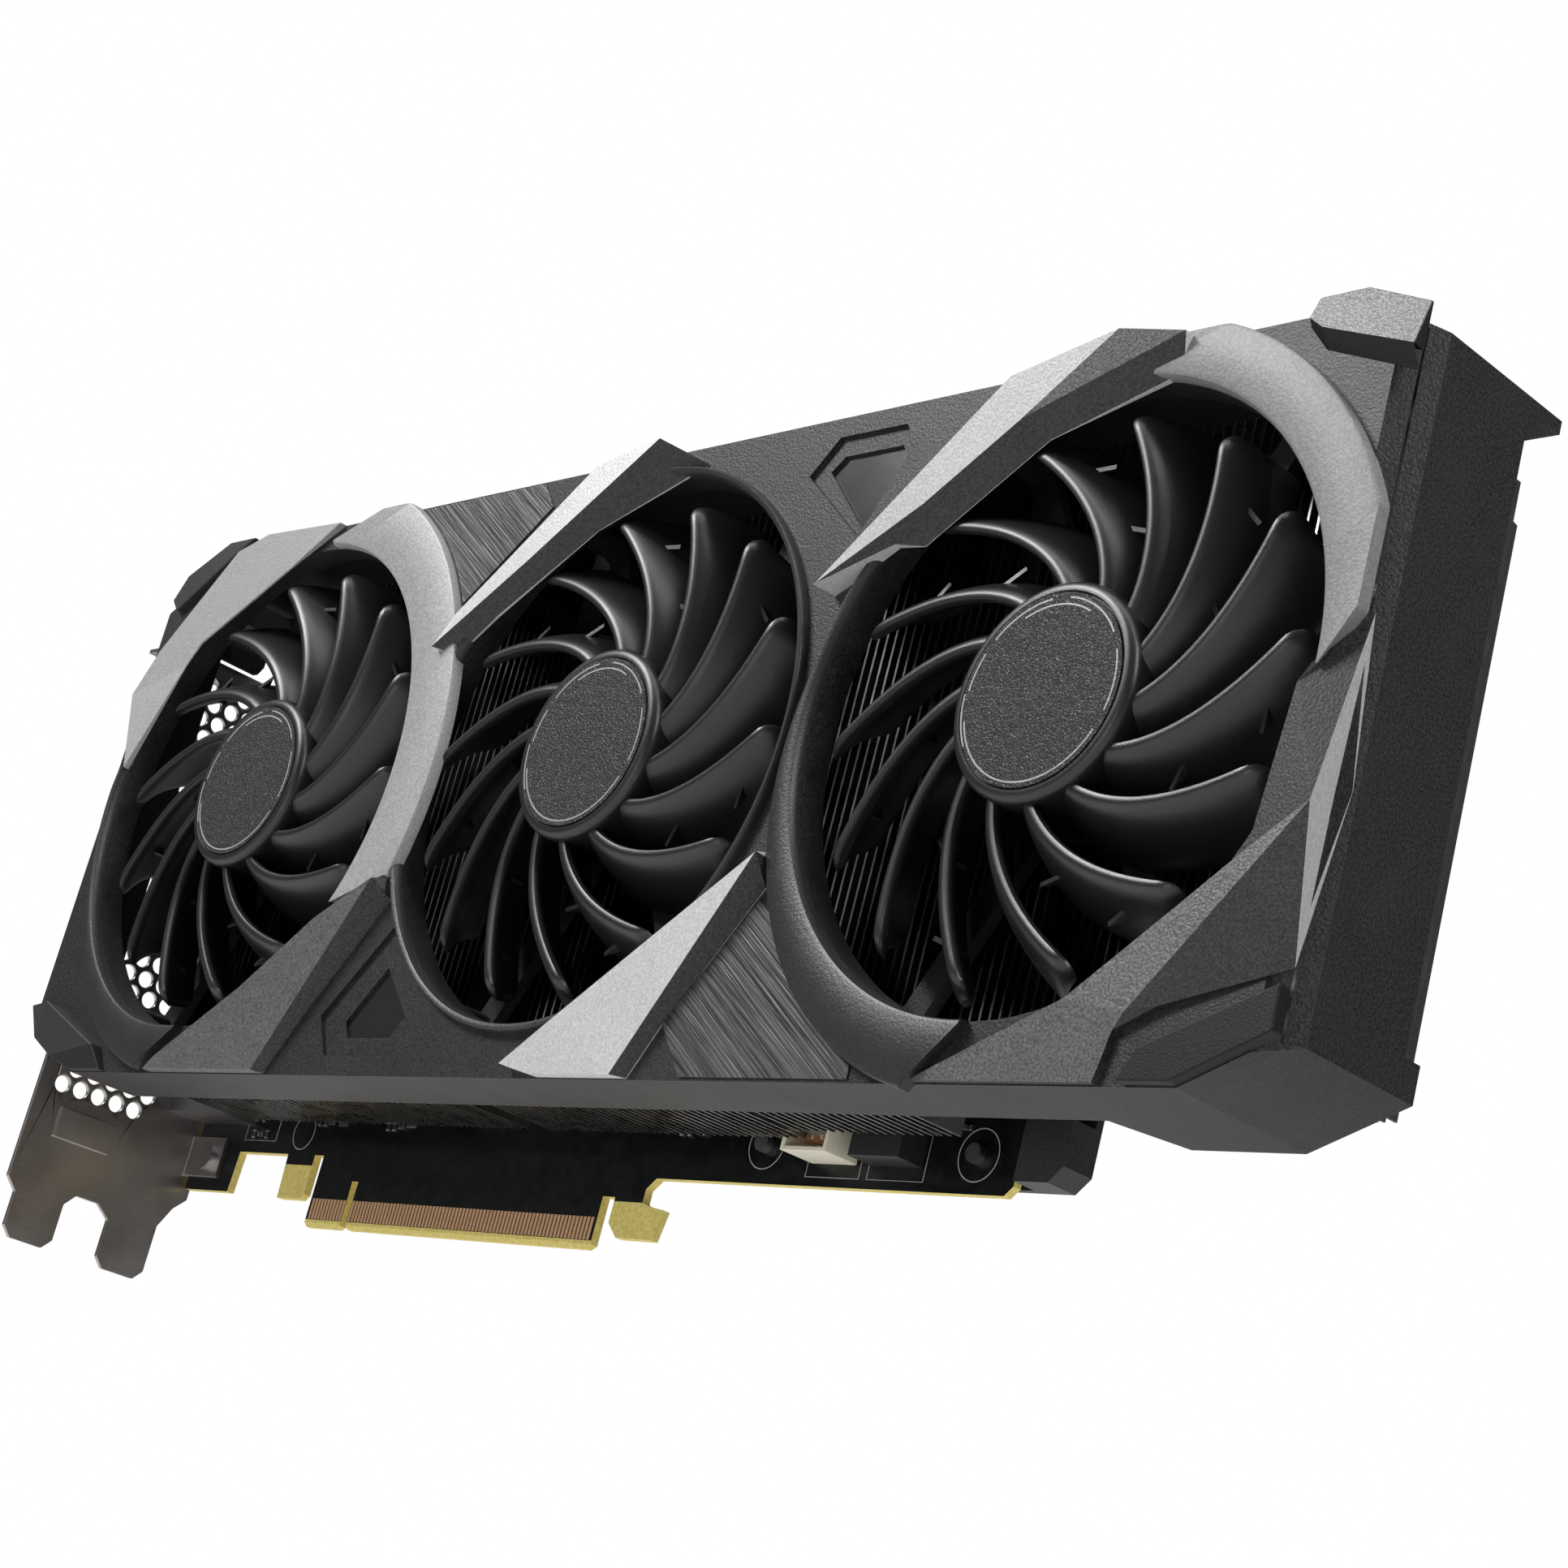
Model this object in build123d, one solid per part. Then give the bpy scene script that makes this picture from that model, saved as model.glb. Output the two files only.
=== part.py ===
"""Triple-fan graphics card: a two-slot cooler with a faceted shroud on an edge-connector board.

Frame: millimetres, origin at the bottom middle of the edge connector's tongue.
+X runs from the slot bracket to the tail, +Z away from the slot, -Y out of the fan side.
"""
import os
from math import cos, radians, sin

from build123d import *

os.makedirs("parts", exist_ok=True)

# ---------------------------------------------------------------- driving dimensions
# circuit board and edge connector (standard x16 card edge)
BOARD_THICK = 1.57
BOARD_FRONT = -BOARD_THICK / 2
BOARD_BACK = BOARD_THICK / 2
BOARD_LEFT = -87.4
BOARD_RIGHT = 135.4
BOARD_TOP = 111.0
BOARD_LOW = 12.5
TONGUE_HALF = 42.6
KEY_LEFT = -30.95
KEY_RIGHT = -29.05
KEY_TOP = 9.0
CONTACT_LOW = 1.5
CONTACT_TOP = 5.4
CONTACT_WIDTH = 0.7
CONTACT_THICK = 0.05

# fans
FAN_XS = (-35.9, 63.3, 162.5)
FAN_NAMES = ("left", "middle", "right")
FAN_Z = 71.3
BLADE_PHASES = (3.0, 2.6, 9.6)
BLADES = 14
TIP_R = 43.1
HUB_R = 16.5
BLADE_FRONT = -43.0
BLADE_BACK = -31.8
APERTURE_R = 46.9
DUCT_R = 48.6
DUCT_BACK = -38.0
FRAME_FRONT = -31.0
SHAFT_R = 1.5
BEARING_GAP = 0.04
LUG_ANGLES = (60, 120, 240, 300)
LUG_RADIUS = 50.2

# shroud
SHROUD_LEFT = -87.4
SHROUD_RIGHT = 215.4
SHROUD_LOW = 15.7
SHROUD_TOP = 122.8
FACE_FRONT = -42.8
FACE_BACK = -40.6
WALL = 2.0
SIDE_BACK = -19.8
LIP_BACK = -28.6
FOOT_BACK = -16.5
HOOK_BACK = -12.8
RING_FRONT = -44.8
BLADE_CLEAR_R = 44.0
BLADE_CLEAR_FRONT = -43.4

# cooler
FIN_FRONT = -27.4
FIN_BACK = -8.2
FIN_PITCH = 1.9
FIN_THICK = 0.4
FIN_LOW = 17.9
TAIL_FIN_LOW = 25.5
FIN_TOP = 119.0
PIPE_R = 3.0
PIPE_Y = -16.5
PIPE_ZS = (36.0, 50.0, 64.0, 78.0, 92.0)
GPU_X = 10.0
GPU_Z = 64.0

SOCKET_FRONT = -11.2

# bracket and backplate
BRACKET_OUT = -89.1
BRACKET_IN = -88.2
BRACKET_FRONT = -37.8
BRACKET_BACK = 0.9
BRACKET_TOP = 105.9
BACKPLATE_IN = 2.8
BACKPLATE_OUT = 4.2


# ---------------------------------------------------------------- shape helpers
def prism(points, front, back):
    """Outline of (x, z) points carried along Y from the front plane to the back plane."""
    face = make_face(Polyline(*points, close=True))
    return Pos(0, back, 0) * Rot(90, 0, 0) * extrude(face, amount=back - front)


def disc(x, z, radius, front, back):
    """Cylinder about a Y axis through (x, z)."""
    return Pos(x, (front + back) / 2, z) * Rot(90, 0, 0) * Cylinder(radius, back - front)


def tube(x, z, inner, outer, front, back):
    """Pipe about a Y axis through (x, z)."""
    return disc(x, z, outer, front, back) - disc(x, z, inner, front - 1, back + 1)


def block(x0, x1, y0, y1, z0, z1):
    """Box between two opposite corners."""
    centre = Pos((x0 + x1) / 2, (y0 + y1) / 2, (z0 + z1) / 2)
    return centre * Box(x1 - x0, y1 - y0, z1 - z0)


def polar(x, z, radius, angle):
    """Point at a radius and an angle in degrees about (x, z)."""
    return (x + radius * cos(radians(angle)), z + radius * sin(radians(angle)))


def save(name, shapes):
    """One node: a single solid, or a group of separate solids."""
    shape = Compound(children=list(shapes)) if isinstance(shapes, (list, tuple)) else shapes
    export_step(shape, f"parts/{name}.step")


def clear_blades(shape):
    """Cut room for the blade tips out of a trim piece that overhangs a fan opening."""
    for x in FAN_XS:
        shape = shape - disc(x, FAN_Z, BLADE_CLEAR_R, BLADE_CLEAR_FRONT, FRAME_FRONT)
    return shape


def lug_points():
    """Centres of all the screws that hold the three fan frames."""
    return [polar(x, FAN_Z, LUG_RADIUS, a) for x in FAN_XS for a in LUG_ANGLES]


# ---------------------------------------------------------------- shroud shell
POCKETS = (
    ((16.4, 25.3), (24.3, 34.7), (32.9, 26.1), (30.3, 22.5), (18.2, 22.5)),
    ((103.9, 113.9), (106.4, 116.2), (119.1, 116.2), (120.6, 114.2), (114.5, 102.8)),
)
RECESSES = (
    ((23.6, 41.8), (9.5, 26.2), (13.7, 19.2), (34.4, 19.2), (37.4, 25.4)),
    ((99.8, 113.4), (104.9, 119.4), (119.5, 119.4), (124.0, 113.9), (114.5, 101.4)),
)
RECESS_FLOOR = -42.1
POCKET_FLOOR = -41.1
INSET_THICK = 0.4


def shroud_outline(inset):
    """Front outline of the shell, pulled in by a margin."""
    left, right = SHROUD_LEFT + inset, SHROUD_RIGHT - inset
    low, top = SHROUD_LOW + inset, SHROUD_TOP - inset
    return (
        (left, 27.0), (-68.0, low), (200.5, low), (right, 22.3),
        (right, 119.0), (204.0, top), (-66.0, top), (left, 111.0),
    )


def shroud_shell():
    shell = prism(shroud_outline(0), FACE_FRONT, SIDE_BACK)
    shell -= prism(shroud_outline(WALL), FACE_BACK, 0)
    for x in FAN_XS:
        shell += disc(x, FAN_Z, DUCT_R, FACE_BACK, DUCT_BACK)
    for x, z in lug_points():
        shell += disc(x, z, 2.6, FACE_BACK, FRAME_FRONT)
    for x in FAN_XS:
        shell -= disc(x, FAN_Z, APERTURE_R, FACE_FRONT - 1, SIDE_BACK)
    for x, z in lug_points():
        shell -= disc(x, z, 0.9, -38.0, 0)
    # the lower wall is a short lip, and the bracket end is open behind the face
    shell -= block(-90, 196, LIP_BACK, 0, 0, 20)
    shell -= block(-90, -80, -30.0, 0, 0, 130)
    # the face falls back towards the tail
    slope = make_face(Polyline((211.0, FACE_FRONT - 1), (216.0, FACE_FRONT - 1), (216.0, -38.3),
                               (215.4, -38.3), (211.0, FACE_FRONT), close=True))
    shell -= extrude(slope, amount=140)
    # the tail foot's floor and the corner hooks reach round towards the back
    floor = prism(((176.0, SHROUD_LOW), (200.5, SHROUD_LOW), (SHROUD_RIGHT, 22.3), (SHROUD_RIGHT, 27.5),
                   (203.0, 27.5), (203.0, 21.8), (199.9, SHROUD_LOW + WALL), (176.0, SHROUD_LOW + WALL)),
                  LIP_BACK, FOOT_BACK)
    cut = make_face(Polyline((175.0, LIP_BACK), (177.2, LIP_BACK), (181.5, FOOT_BACK), (175.0, FOOT_BACK),
                             close=True))
    shell += floor - extrude(cut, amount=30)
    shell += block(203.0, SHROUD_RIGHT, SIDE_BACK, HOOK_BACK, 117.0, 119.0)
    for recess, pocket in zip(RECESSES, POCKETS):
        shell -= prism(recess, FACE_FRONT - 1, RECESS_FLOOR)
        shell -= prism(pocket, FACE_FRONT - 1, POCKET_FLOOR)
    return shell


save("shroud_shell", shroud_shell())
save("pocket_insets", [prism(p, POCKET_FLOOR - INSET_THICK, POCKET_FLOOR) for p in POCKETS])


# ---------------------------------------------------------------- shroud trim
def crescent(x, outer_x, outer_z, outer_r, clip, front):
    """Trim round a fan opening: inner circle on the fan, free outer circle, ends cut by an outline."""
    ring = disc(outer_x, outer_z, outer_r, front, FACE_FRONT) - disc(x, FAN_Z, APERTURE_R, -60, 0)
    return clear_blades(ring & prism(clip, front, FACE_FRONT))


LEFT, MIDDLE, RIGHT = FAN_XS

LEFT_RING_CLIP = ((-87.2, 75.3), (LEFT, 75.3), (LEFT, 40.0), (-33.6, 23.5), (-42.6, 16.4), (-42.6, 10.0),
                  (-87.2, 10.0))
RIGHT_RING_CLIP = ((105.0, 96.5), (126.0, 96.5), (RIGHT, FAN_Z), (162.4, 23.5), (154.4, 16.0), (154.4, 8.0),
                   (105.0, 8.0))
LEFT_CRESCENT_CLIP = ((LEFT, FAN_Z), (-30.6, 118.5), (-16.6, 122.8), (30.0, 122.8), (30.0, 53.0),
                      (19.4, 50.5), (3.9, 46.7))
RIGHT_CRESCENT_CLIP = ((RIGHT, FAN_Z), (160.4, 119.5), (173.4, 124.0), (214.8, 124.0), (214.8, 76.5),
                       (209.4, 70.5))

left_ring = crescent(LEFT, LEFT + 3.6, 65.1, 50.2, LEFT_RING_CLIP, RING_FRONT)
right_ring = crescent(RIGHT, RIGHT + 1.6, 65.0, 51.4, RIGHT_RING_CLIP, RING_FRONT)
left_crescent = crescent(LEFT, LEFT, FAN_Z, 59.0, LEFT_CRESCENT_CLIP, RING_FRONT)
right_crescent = crescent(RIGHT, RIGHT + 0.5, FAN_Z, 55.8, RIGHT_CRESCENT_CLIP, RING_FRONT)

# straight accents: outline and front plane
LEFT_BAND = ((-86.9, 92.4), (-82.0, 101.2), (-64.6, 120.8), (-55.8, 123.4), (-31.4, 122.9), (-44.0, 115.5),
             (-69.1, 102.2), (-72.5, 97.8), (-82.1, 76.8))
LEFT_BAR = ((18.4, 49.2), (4.7, 42.4), (-12.2, 30.2), (-34.8, 18.2), (-39.6, 15.7), (-4.1, 15.7))
MIDDLE_UPPER_BAR = ((14.8, 91.9), (19.3, 97.6), (48.1, 121.4), (63.8, 124.0), (35.5, 104.7), (28.2, 97.0))
MIDDLE_LOWER_BAR = ((115.1, 49.2), (96.4, 36.9), (77.5, 24.0), (66.1, 17.3), (66.1, 15.7), (92.9, 15.7))
RIGHT_UPPER_BAR = ((113.2, 91.5), (144.7, 120.7), (164.6, 124.6), (176.5, 122.6), (147.8, 114.1),
                   (131.0, 102.6), (126.1, 97.5))
TAIL_FACETS = ((208.6, 69.3), (205.4, 46.0), (194.4, 37.5), (180.4, 26.8), (154.3, 15.7), (187.4, 15.7),
               (188.9, 22.8), (195.5, 25.9), (211.6, 30.6), (214.8, 51.5), (214.8, 75.8))
TAIL_GUARD_TOP = ((195.7, 120.8), (196.4, 125.4), (204.6, 125.4), (215.3, 121.4), (215.3, 112.4),
                  (198.7, 118.3))
TAIL_FOOT = ((191.4, 15.7), (195.9, 21.0), (214.9, 28.2), (214.9, 22.9), (201.6, 16.2))
BRACKET_FOOT = ((-87.2, 28.3), (-80.6, 28.8), (-59.6, 20.5), (-55.6, 15.7), (-67.6, 15.7), (-76.1, 18.5),
                (-84.9, 22.2))
BRACKET_GUARD_TOP = ((-87.2, 113.6), (-83.5, 118.4), (-70.4, 124.0), (-61.8, 124.0), (-65.4, 121.4),
                     (-82.8, 110.6))


def bar(outline, front):
    return clear_blades(prism(outline, front, FACE_FRONT))


left_bar = bar(LEFT_BAR, -46.8)
middle_lower_bar = bar(MIDDLE_LOWER_BAR, -46.3)
middle_upper_bar = bar(MIDDLE_UPPER_BAR, -46.5)
left_band = bar(LEFT_BAND, RING_FRONT)
right_upper_bar = bar(RIGHT_UPPER_BAR, -47.6)
bracket_foot = prism(BRACKET_FOOT, -45.3, FACE_FRONT)
tail_facets = bar(TAIL_FACETS, RING_FRONT)
tail_facets -= extrude(make_face(Polyline((210.9, FACE_FRONT), (216.0, FACE_FRONT - 3.0), (216.0, FACE_FRONT),
                                          close=True)), amount=140)
middle_ring = tube(MIDDLE, FAN_Z, APERTURE_R, DUCT_R - 0.2, -44.4, FACE_FRONT)

# where two trims meet, the upper one keeps its full shape
left_crescent = left_crescent - left_bar - middle_upper_bar - left_band
left_ring = left_ring - left_bar - left_band - bracket_foot
right_ring = right_ring - right_upper_bar - middle_lower_bar - tail_facets
right_crescent = right_crescent - right_upper_bar - tail_facets
middle_ring = middle_ring - left_crescent - left_bar - middle_upper_bar - middle_lower_bar
middle_ring = middle_ring - right_ring - right_upper_bar

BRUSHED_UPPER = ((-14.0, 122.4), (29.8, 122.4), (34.0, 117.4), (14.2, 100.3), (0.0, 104.0))
BRUSHED_LOWER = ((106.6, 16.2), (99.8, 24.4), (114.6, 43.0), (124.0, 36.0), (142.0, 24.0), (142.0, 16.2))
BRUSHED_FRONT = -43.1
brushed_upper = prism(BRUSHED_UPPER, BRUSHED_FRONT, FACE_FRONT) - disc(LEFT, FAN_Z, 59.4, -60, 0)
brushed_upper = brushed_upper - middle_upper_bar
brushed_lower = prism(BRUSHED_LOWER, BRUSHED_FRONT, FACE_FRONT) - disc(RIGHT + 1.6, 65.0, 51.8, -60, 0)
brushed_lower = brushed_lower - middle_lower_bar - disc(MIDDLE, FAN_Z, DUCT_R, -60, 0)

save("trim_ring_left", left_ring)
save("trim_ring_middle", middle_ring.solids())
save("trim_ring_right", right_ring)
save("trim_crescent_left", left_crescent)
save("trim_crescent_right", right_crescent)
save("trim_band_left", left_band)
save("trim_bar_left", left_bar)
save("trim_bar_middle_upper", middle_upper_bar)
save("trim_bar_middle_lower", middle_lower_bar)
save("trim_bar_right_upper", right_upper_bar)
save("trim_facets_tail", tail_facets)
save("brushed_inserts", [brushed_upper, brushed_lower])
guards = [bracket_foot, prism(TAIL_FOOT, RING_FRONT, FACE_FRONT) - tail_facets]
guards.append(prism(BRACKET_GUARD_TOP, FACE_FRONT - 1.0, FACE_FRONT) - left_band)
guards.append(prism(TAIL_GUARD_TOP, RING_FRONT, FACE_FRONT) - right_crescent)
save("corner_guards", guards)


# ---------------------------------------------------------------- fans
def blade():
    """One swept blade: a curved rib in front, twisted and thinner at the back."""
    root_r, mid_r = HUB_R - 1.0, 30.0
    sections = []
    for plane_y, half, tip_turn, root_turn in ((BLADE_FRONT, 1.1, 0.0, 0.0), (BLADE_BACK, 0.6, -10.0, -24.0)):
        mid_turn = (tip_turn + root_turn) / 2
        outer = [polar(0, 0, root_r, -41.5 + root_turn), polar(0, 0, mid_r + half, -16.5 + mid_turn),
                 polar(0, 0, TIP_R, tip_turn)]
        inner = [polar(0, 0, root_r, -41.5 + root_turn + half * 7), polar(0, 0, mid_r - half, -13.0 + mid_turn),
                 polar(0, 0, TIP_R, tip_turn + half * 2.6)]
        near, far = ThreePointArc(*outer), ThreePointArc(*reversed(inner))
        rim = near + Line(outer[2], inner[2]) + far + Line(inner[0], outer[0])
        sections.append(Pos(0, plane_y, 0) * Rot(90, 0, 0) * make_face(rim))
    return loft(sections, ruled=True)


def rotor(x, phase):
    hub = disc(0, 0, HUB_R, -44.3, -32.0)
    hub = fillet(hub.edges().filter_by(GeomType.CIRCLE).sort_by(Axis.Y)[0], 1.3)
    hub -= disc(0, 0, 14.9, -42.3, -31.0)
    hub -= disc(0, 0, 14.6, -45.0, -43.9)
    hub += disc(0, 0, 3.2, -42.3, -40.6)
    hub -= disc(0, 0, SHAFT_R, -43.0, -40.0)
    master = blade()
    bore = disc(0, 0, 14.9, -42.3, -31.0)
    for i in range(BLADES):
        turned = Rot(0, -(phase + i * 360 / BLADES), 0) * master
        hub += turned - bore
    return Pos(x, 0, FAN_Z) * hub


def fan_frame(x):
    """Motor base on four arms, with a tube that carries the bearing."""
    frame = disc(x, FAN_Z, 16.4, FRAME_FRONT, -28.9)
    for angle in LUG_ANGLES:
        lug_x, lug_z = polar(x, FAN_Z, LUG_RADIUS, angle)
        side_a, side_b = polar(0, 0, 2.2, angle + 90), polar(0, 0, 2.2, angle - 90)
        inner_x, inner_z = polar(x, FAN_Z, 12.0, angle)
        arm = ((inner_x + side_a[0], inner_z + side_a[1]), (lug_x + side_a[0], lug_z + side_a[1]),
               (lug_x + side_b[0], lug_z + side_b[1]), (inner_x + side_b[0], inner_z + side_b[1]))
        frame += prism(arm, FRAME_FRONT, -28.9)
        frame += disc(lug_x, lug_z, 3.0, FRAME_FRONT, -28.9)
        frame -= disc(lug_x, lug_z, 1.2, -32.0, -28.0)
    return frame + tube(x, FAN_Z, 3.4, 4.1, -40.0, -30.9)


def stator(x):
    """Laminated core with nine wound poles."""
    core = tube(x, FAN_Z, 4.1, 6.4, -39.6, -34.4)
    for i in range(9):
        root_x, root_z = polar(x, FAN_Z, 8.9, i * 40)
        core += Pos(root_x, -37.0, root_z) * Rot(0, -i * 40, 0) * Box(6.4, 5.2, 3.0)
    return core


for name, x, phase in zip(FAN_NAMES, FAN_XS, BLADE_PHASES):
    save(f"fan_rotor_{name}", rotor(x, phase))
    save(f"hub_disc_{name}", disc(x, FAN_Z, 14.4, -44.4, -43.9))
    save(f"fan_shaft_{name}", disc(x, FAN_Z, SHAFT_R, -43.0, -31.3))
    save(f"magnet_ring_{name}", tube(x, FAN_Z, 12.9, 14.9, -41.6, -33.2))
    save(f"fan_frame_{name}", fan_frame(x))
save("fan_stators", [stator(x) for x in FAN_XS])
save("fan_bearings", [tube(x, FAN_Z, SHAFT_R + BEARING_GAP, 3.4, -39.8, -31.0) for x in FAN_XS])
save("fan_boards", [tube(x, FAN_Z, 4.1, 12.4, -33.9, -32.9) for x in FAN_XS])
save("fan_screws", [disc(x, z, 0.9, -36.5, -28.9) + disc(x, z, 2.2, -28.9, -27.6)
                    for x, z in lug_points()])


# ---------------------------------------------------------------- cooler
def fins(first, last, low, back):
    """Stack of upright fins with holes for the heat pipes."""
    fin = block(0, FIN_THICK, FIN_FRONT, back, low, FIN_TOP)
    for z in PIPE_ZS:
        fin -= Pos(0, PIPE_Y, z) * Rot(0, 90, 0) * Cylinder(PIPE_R, 4)
    count = int((last - first) / FIN_PITCH) + 1
    return [Pos(first + i * FIN_PITCH, 0, 0) * fin for i in range(count)]


board_fins = fins(-62.0, 28.0, FIN_LOW, FIN_BACK) + fins(34.0, 98.0, FIN_LOW, FIN_BACK)
save("fin_stack_board", board_fins + fins(99.5, 135.0, FIN_LOW, SOCKET_FRONT - 0.8))
save("fin_stack_tail", fins(138.5, 199.6, TAIL_FIN_LOW, 1.0))
save("heat_pipes", [Pos(72.0, PIPE_Y, z) * Rot(0, 90, 0) * Cylinder(PIPE_R, 274) for z in PIPE_ZS])

COLD_HALF = 27.0
cold_plate = block(GPU_X - COLD_HALF, GPU_X + COLD_HALF, FIN_BACK, -2.85, GPU_Z - COLD_HALF, GPU_Z + COLD_HALF)
SPRING_OFFSET = 24.0
SPRING_POINTS = [(GPU_X + sx * SPRING_OFFSET, GPU_Z + sz * SPRING_OFFSET) for sx in (-1, 1) for sz in (-1, 1)]
for x, z in SPRING_POINTS:
    cold_plate -= disc(x, z, 1.4, -7.0, 0)
save("cold_plate", cold_plate)

# ---------------------------------------------------------------- board
NOTCH_TOP = 13.6


def board_outline():
    low, tip = BOARD_LOW, 0.0
    return (
        (BOARD_LEFT, 5.6), (-72.0, 5.6), (-71.5, NOTCH_TOP), (-54.7, NOTCH_TOP), (-54.2, 5.1),
        (-46.6, 5.1), (-45.6, 6.1), (-45.6, NOTCH_TOP), (-TONGUE_HALF, NOTCH_TOP),
        (-TONGUE_HALF, tip + 0.8), (-TONGUE_HALF + 0.8, tip), (KEY_LEFT - 0.6, tip), (KEY_LEFT, tip + 0.6),
        (KEY_LEFT, KEY_TOP), (KEY_RIGHT, KEY_TOP), (KEY_RIGHT, tip + 0.6), (KEY_RIGHT + 0.6, tip),
        (TONGUE_HALF - 0.8, tip), (TONGUE_HALF, tip + 0.8), (TONGUE_HALF, KEY_TOP), (45.8, KEY_TOP),
        (45.8, 4.6), (48.6, 2.2), (57.7, 2.2), (58.8, 7.3), (55.4, 7.7), (53.2, 8.3), (53.2, 10.6),
        (55.2, low), (BOARD_RIGHT - 1.5, low), (BOARD_RIGHT, low + 1.5), (BOARD_RIGHT, BOARD_TOP),
        (BOARD_LEFT, BOARD_TOP),
    )


BRACKET_SCREWS = ((-80.5, 12.0), (-80.5, 99.6))
PLATE_SCREWS = ((-58.0, 24.0), (-58.0, 104.0), (80.0, 19.0), (127.0, 18.5), (80.0, 104.0), (127.0, 60.0))
board = prism(board_outline(), BOARD_FRONT, BOARD_BACK)
for x, z in BRACKET_SCREWS + PLATE_SCREWS:
    board -= disc(x, z, 1.5, -2, 2)
for x, z in SPRING_POINTS:
    board -= disc(x, z, 1.8, -2, 2)
bevel = make_face(Polyline((BOARD_FRONT - 0.1, -0.1), (BOARD_FRONT - 0.1, 1.1), (BOARD_FRONT + 0.35, -0.1),
                           close=True))
for side in (1, -1):
    wedge = Plane.YZ * (bevel if side == 1 else mirror(bevel, Plane.YZ))
    board -= Pos(-TONGUE_HALF - 1, 0, 0) * extrude(wedge, amount=2 * TONGUE_HALF + 2)
save("circuit_board", board)

CONTACT_FIRST = -TONGUE_HALF + 1.1
CONTACT_SLOTS = [i for i in range(84) if i not in (11, 12)]
contacts = []
for i in CONTACT_SLOTS:
    x = CONTACT_FIRST + i
    for y in (BOARD_FRONT - CONTACT_THICK, BOARD_BACK):
        contacts.append(block(x - CONTACT_WIDTH / 2, x + CONTACT_WIDTH / 2, y, y + CONTACT_THICK,
                              CONTACT_LOW, CONTACT_TOP))
save("edge_contacts", contacts)


def on_board(x, z, width, height, rise):
    """Box-shaped component standing on the front of the board."""
    return block(x - width / 2, x + width / 2, BOARD_FRONT - rise, BOARD_FRONT, z - height / 2, z + height / 2)


save("gpu_substrate", on_board(GPU_X, GPU_Z, 38.0, 38.0, 1.2))
save("gpu_die", block(GPU_X - 12, GPU_X + 12, -2.8, BOARD_FRONT - 1.2, GPU_Z - 11, GPU_Z + 11))

MEMORY_SPOTS = [(GPU_X + dx, GPU_Z + 35.5) for dx in (-16.0, 0.0, 16.0)]
MEMORY_SPOTS += [(GPU_X + dx, GPU_Z - 35.5) for dx in (-8.0, 8.0)]
MEMORY_SPOTS += [(GPU_X + 36.0, GPU_Z + dz) for dz in (-16.0, 0.0, 16.0)]
save("memory_chips", [on_board(x, z, 12.0, 14.0, 1.2) for x, z in MEMORY_SPOTS])
save("thermal_pads", [block(x - 5.5, x + 5.5, FIN_BACK + 1.4, BOARD_FRONT - 1.2, z - 6.5, z + 6.5)
                      for x, z in MEMORY_SPOTS])
plate_frame = block(GPU_X - 30, GPU_X + 44, FIN_BACK, FIN_BACK + 1.4, GPU_Z - 44, GPU_Z + 44)
plate_frame -= block(GPU_X - COLD_HALF - 0.3, GPU_X + COLD_HALF + 0.3, -20, 0, GPU_Z - COLD_HALF - 0.3,
                     GPU_Z + COLD_HALF + 0.3)
save("memory_plate", plate_frame)

POWER_ZS = [34.0 + 9.0 * i for i in range(6)]
save("chokes", [on_board(72.0, z, 8.0, 7.6, 5.0) for z in POWER_ZS])
save("power_stages", [on_board(83.0, z, 6.0, 5.0, 0.9) for z in POWER_ZS])
save("capacitors", [disc(93.0, z, 3.2, BOARD_FRONT - 6.2, BOARD_FRONT) for z in POWER_ZS])

# eight-way power socket, mouth up
SOCKET_X = 118.0
SOCKET_HALF = 9.6
WAY_PITCH = 4.2
socket = block(SOCKET_X - SOCKET_HALF, SOCKET_X + SOCKET_HALF, SOCKET_FRONT, BOARD_FRONT, 98.0, 113.5)
pins = []
for column in range(4):
    for row in range(2):
        x = SOCKET_X + (column - 1.5) * WAY_PITCH
        y = -8.1 + row * WAY_PITCH
        socket -= block(x - 1.8, x + 1.8, y - 1.8, y + 1.8, 101.0, 114.0)
        pins.append(block(x - 0.5, x + 0.5, y - 0.5, y + 0.5, 99.0, 111.0))
        socket -= block(x - 0.5, x + 0.5, y - 0.5, y + 0.5, 99.0, 102.0)
save("power_socket", socket)


def pin_header(x, z):
    """Four-way fan header: tray with a tall back rib and four pins."""
    tray = block(x - 5.1, x + 5.1, BOARD_FRONT - 7.2, BOARD_FRONT, z - 2.9, z + 2.9)
    tray -= block(x - 4.3, x + 4.3, BOARD_FRONT - 7.6, BOARD_FRONT - 2.4, z - 2.1, z + 4.0)
    tray += block(x - 2.2, x + 2.2, BOARD_FRONT - 7.2, BOARD_FRONT, z + 2.1, z + 2.9)
    return tray


HEADER_X, HEADER_Z = 96.6, 19.0
header = pin_header(HEADER_X, HEADER_Z)
for i in range(4):
    x = HEADER_X + (i - 1.5) * 2.0
    pins.append(block(x - 0.3, x + 0.3, BOARD_FRONT - 6.6, BOARD_FRONT - 0.4, HEADER_Z - 0.8,
                      HEADER_Z - 0.2))
    header -= block(x - 0.3, x + 0.3, BOARD_FRONT - 3.0, BOARD_FRONT - 0.4, HEADER_Z - 0.8, HEADER_Z - 0.2)
save("fan_header", header)
save("connector_pins", pins)
save("lighting_header", on_board(110.5, 19.0, 11.0, 5.8, 5.6))

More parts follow.
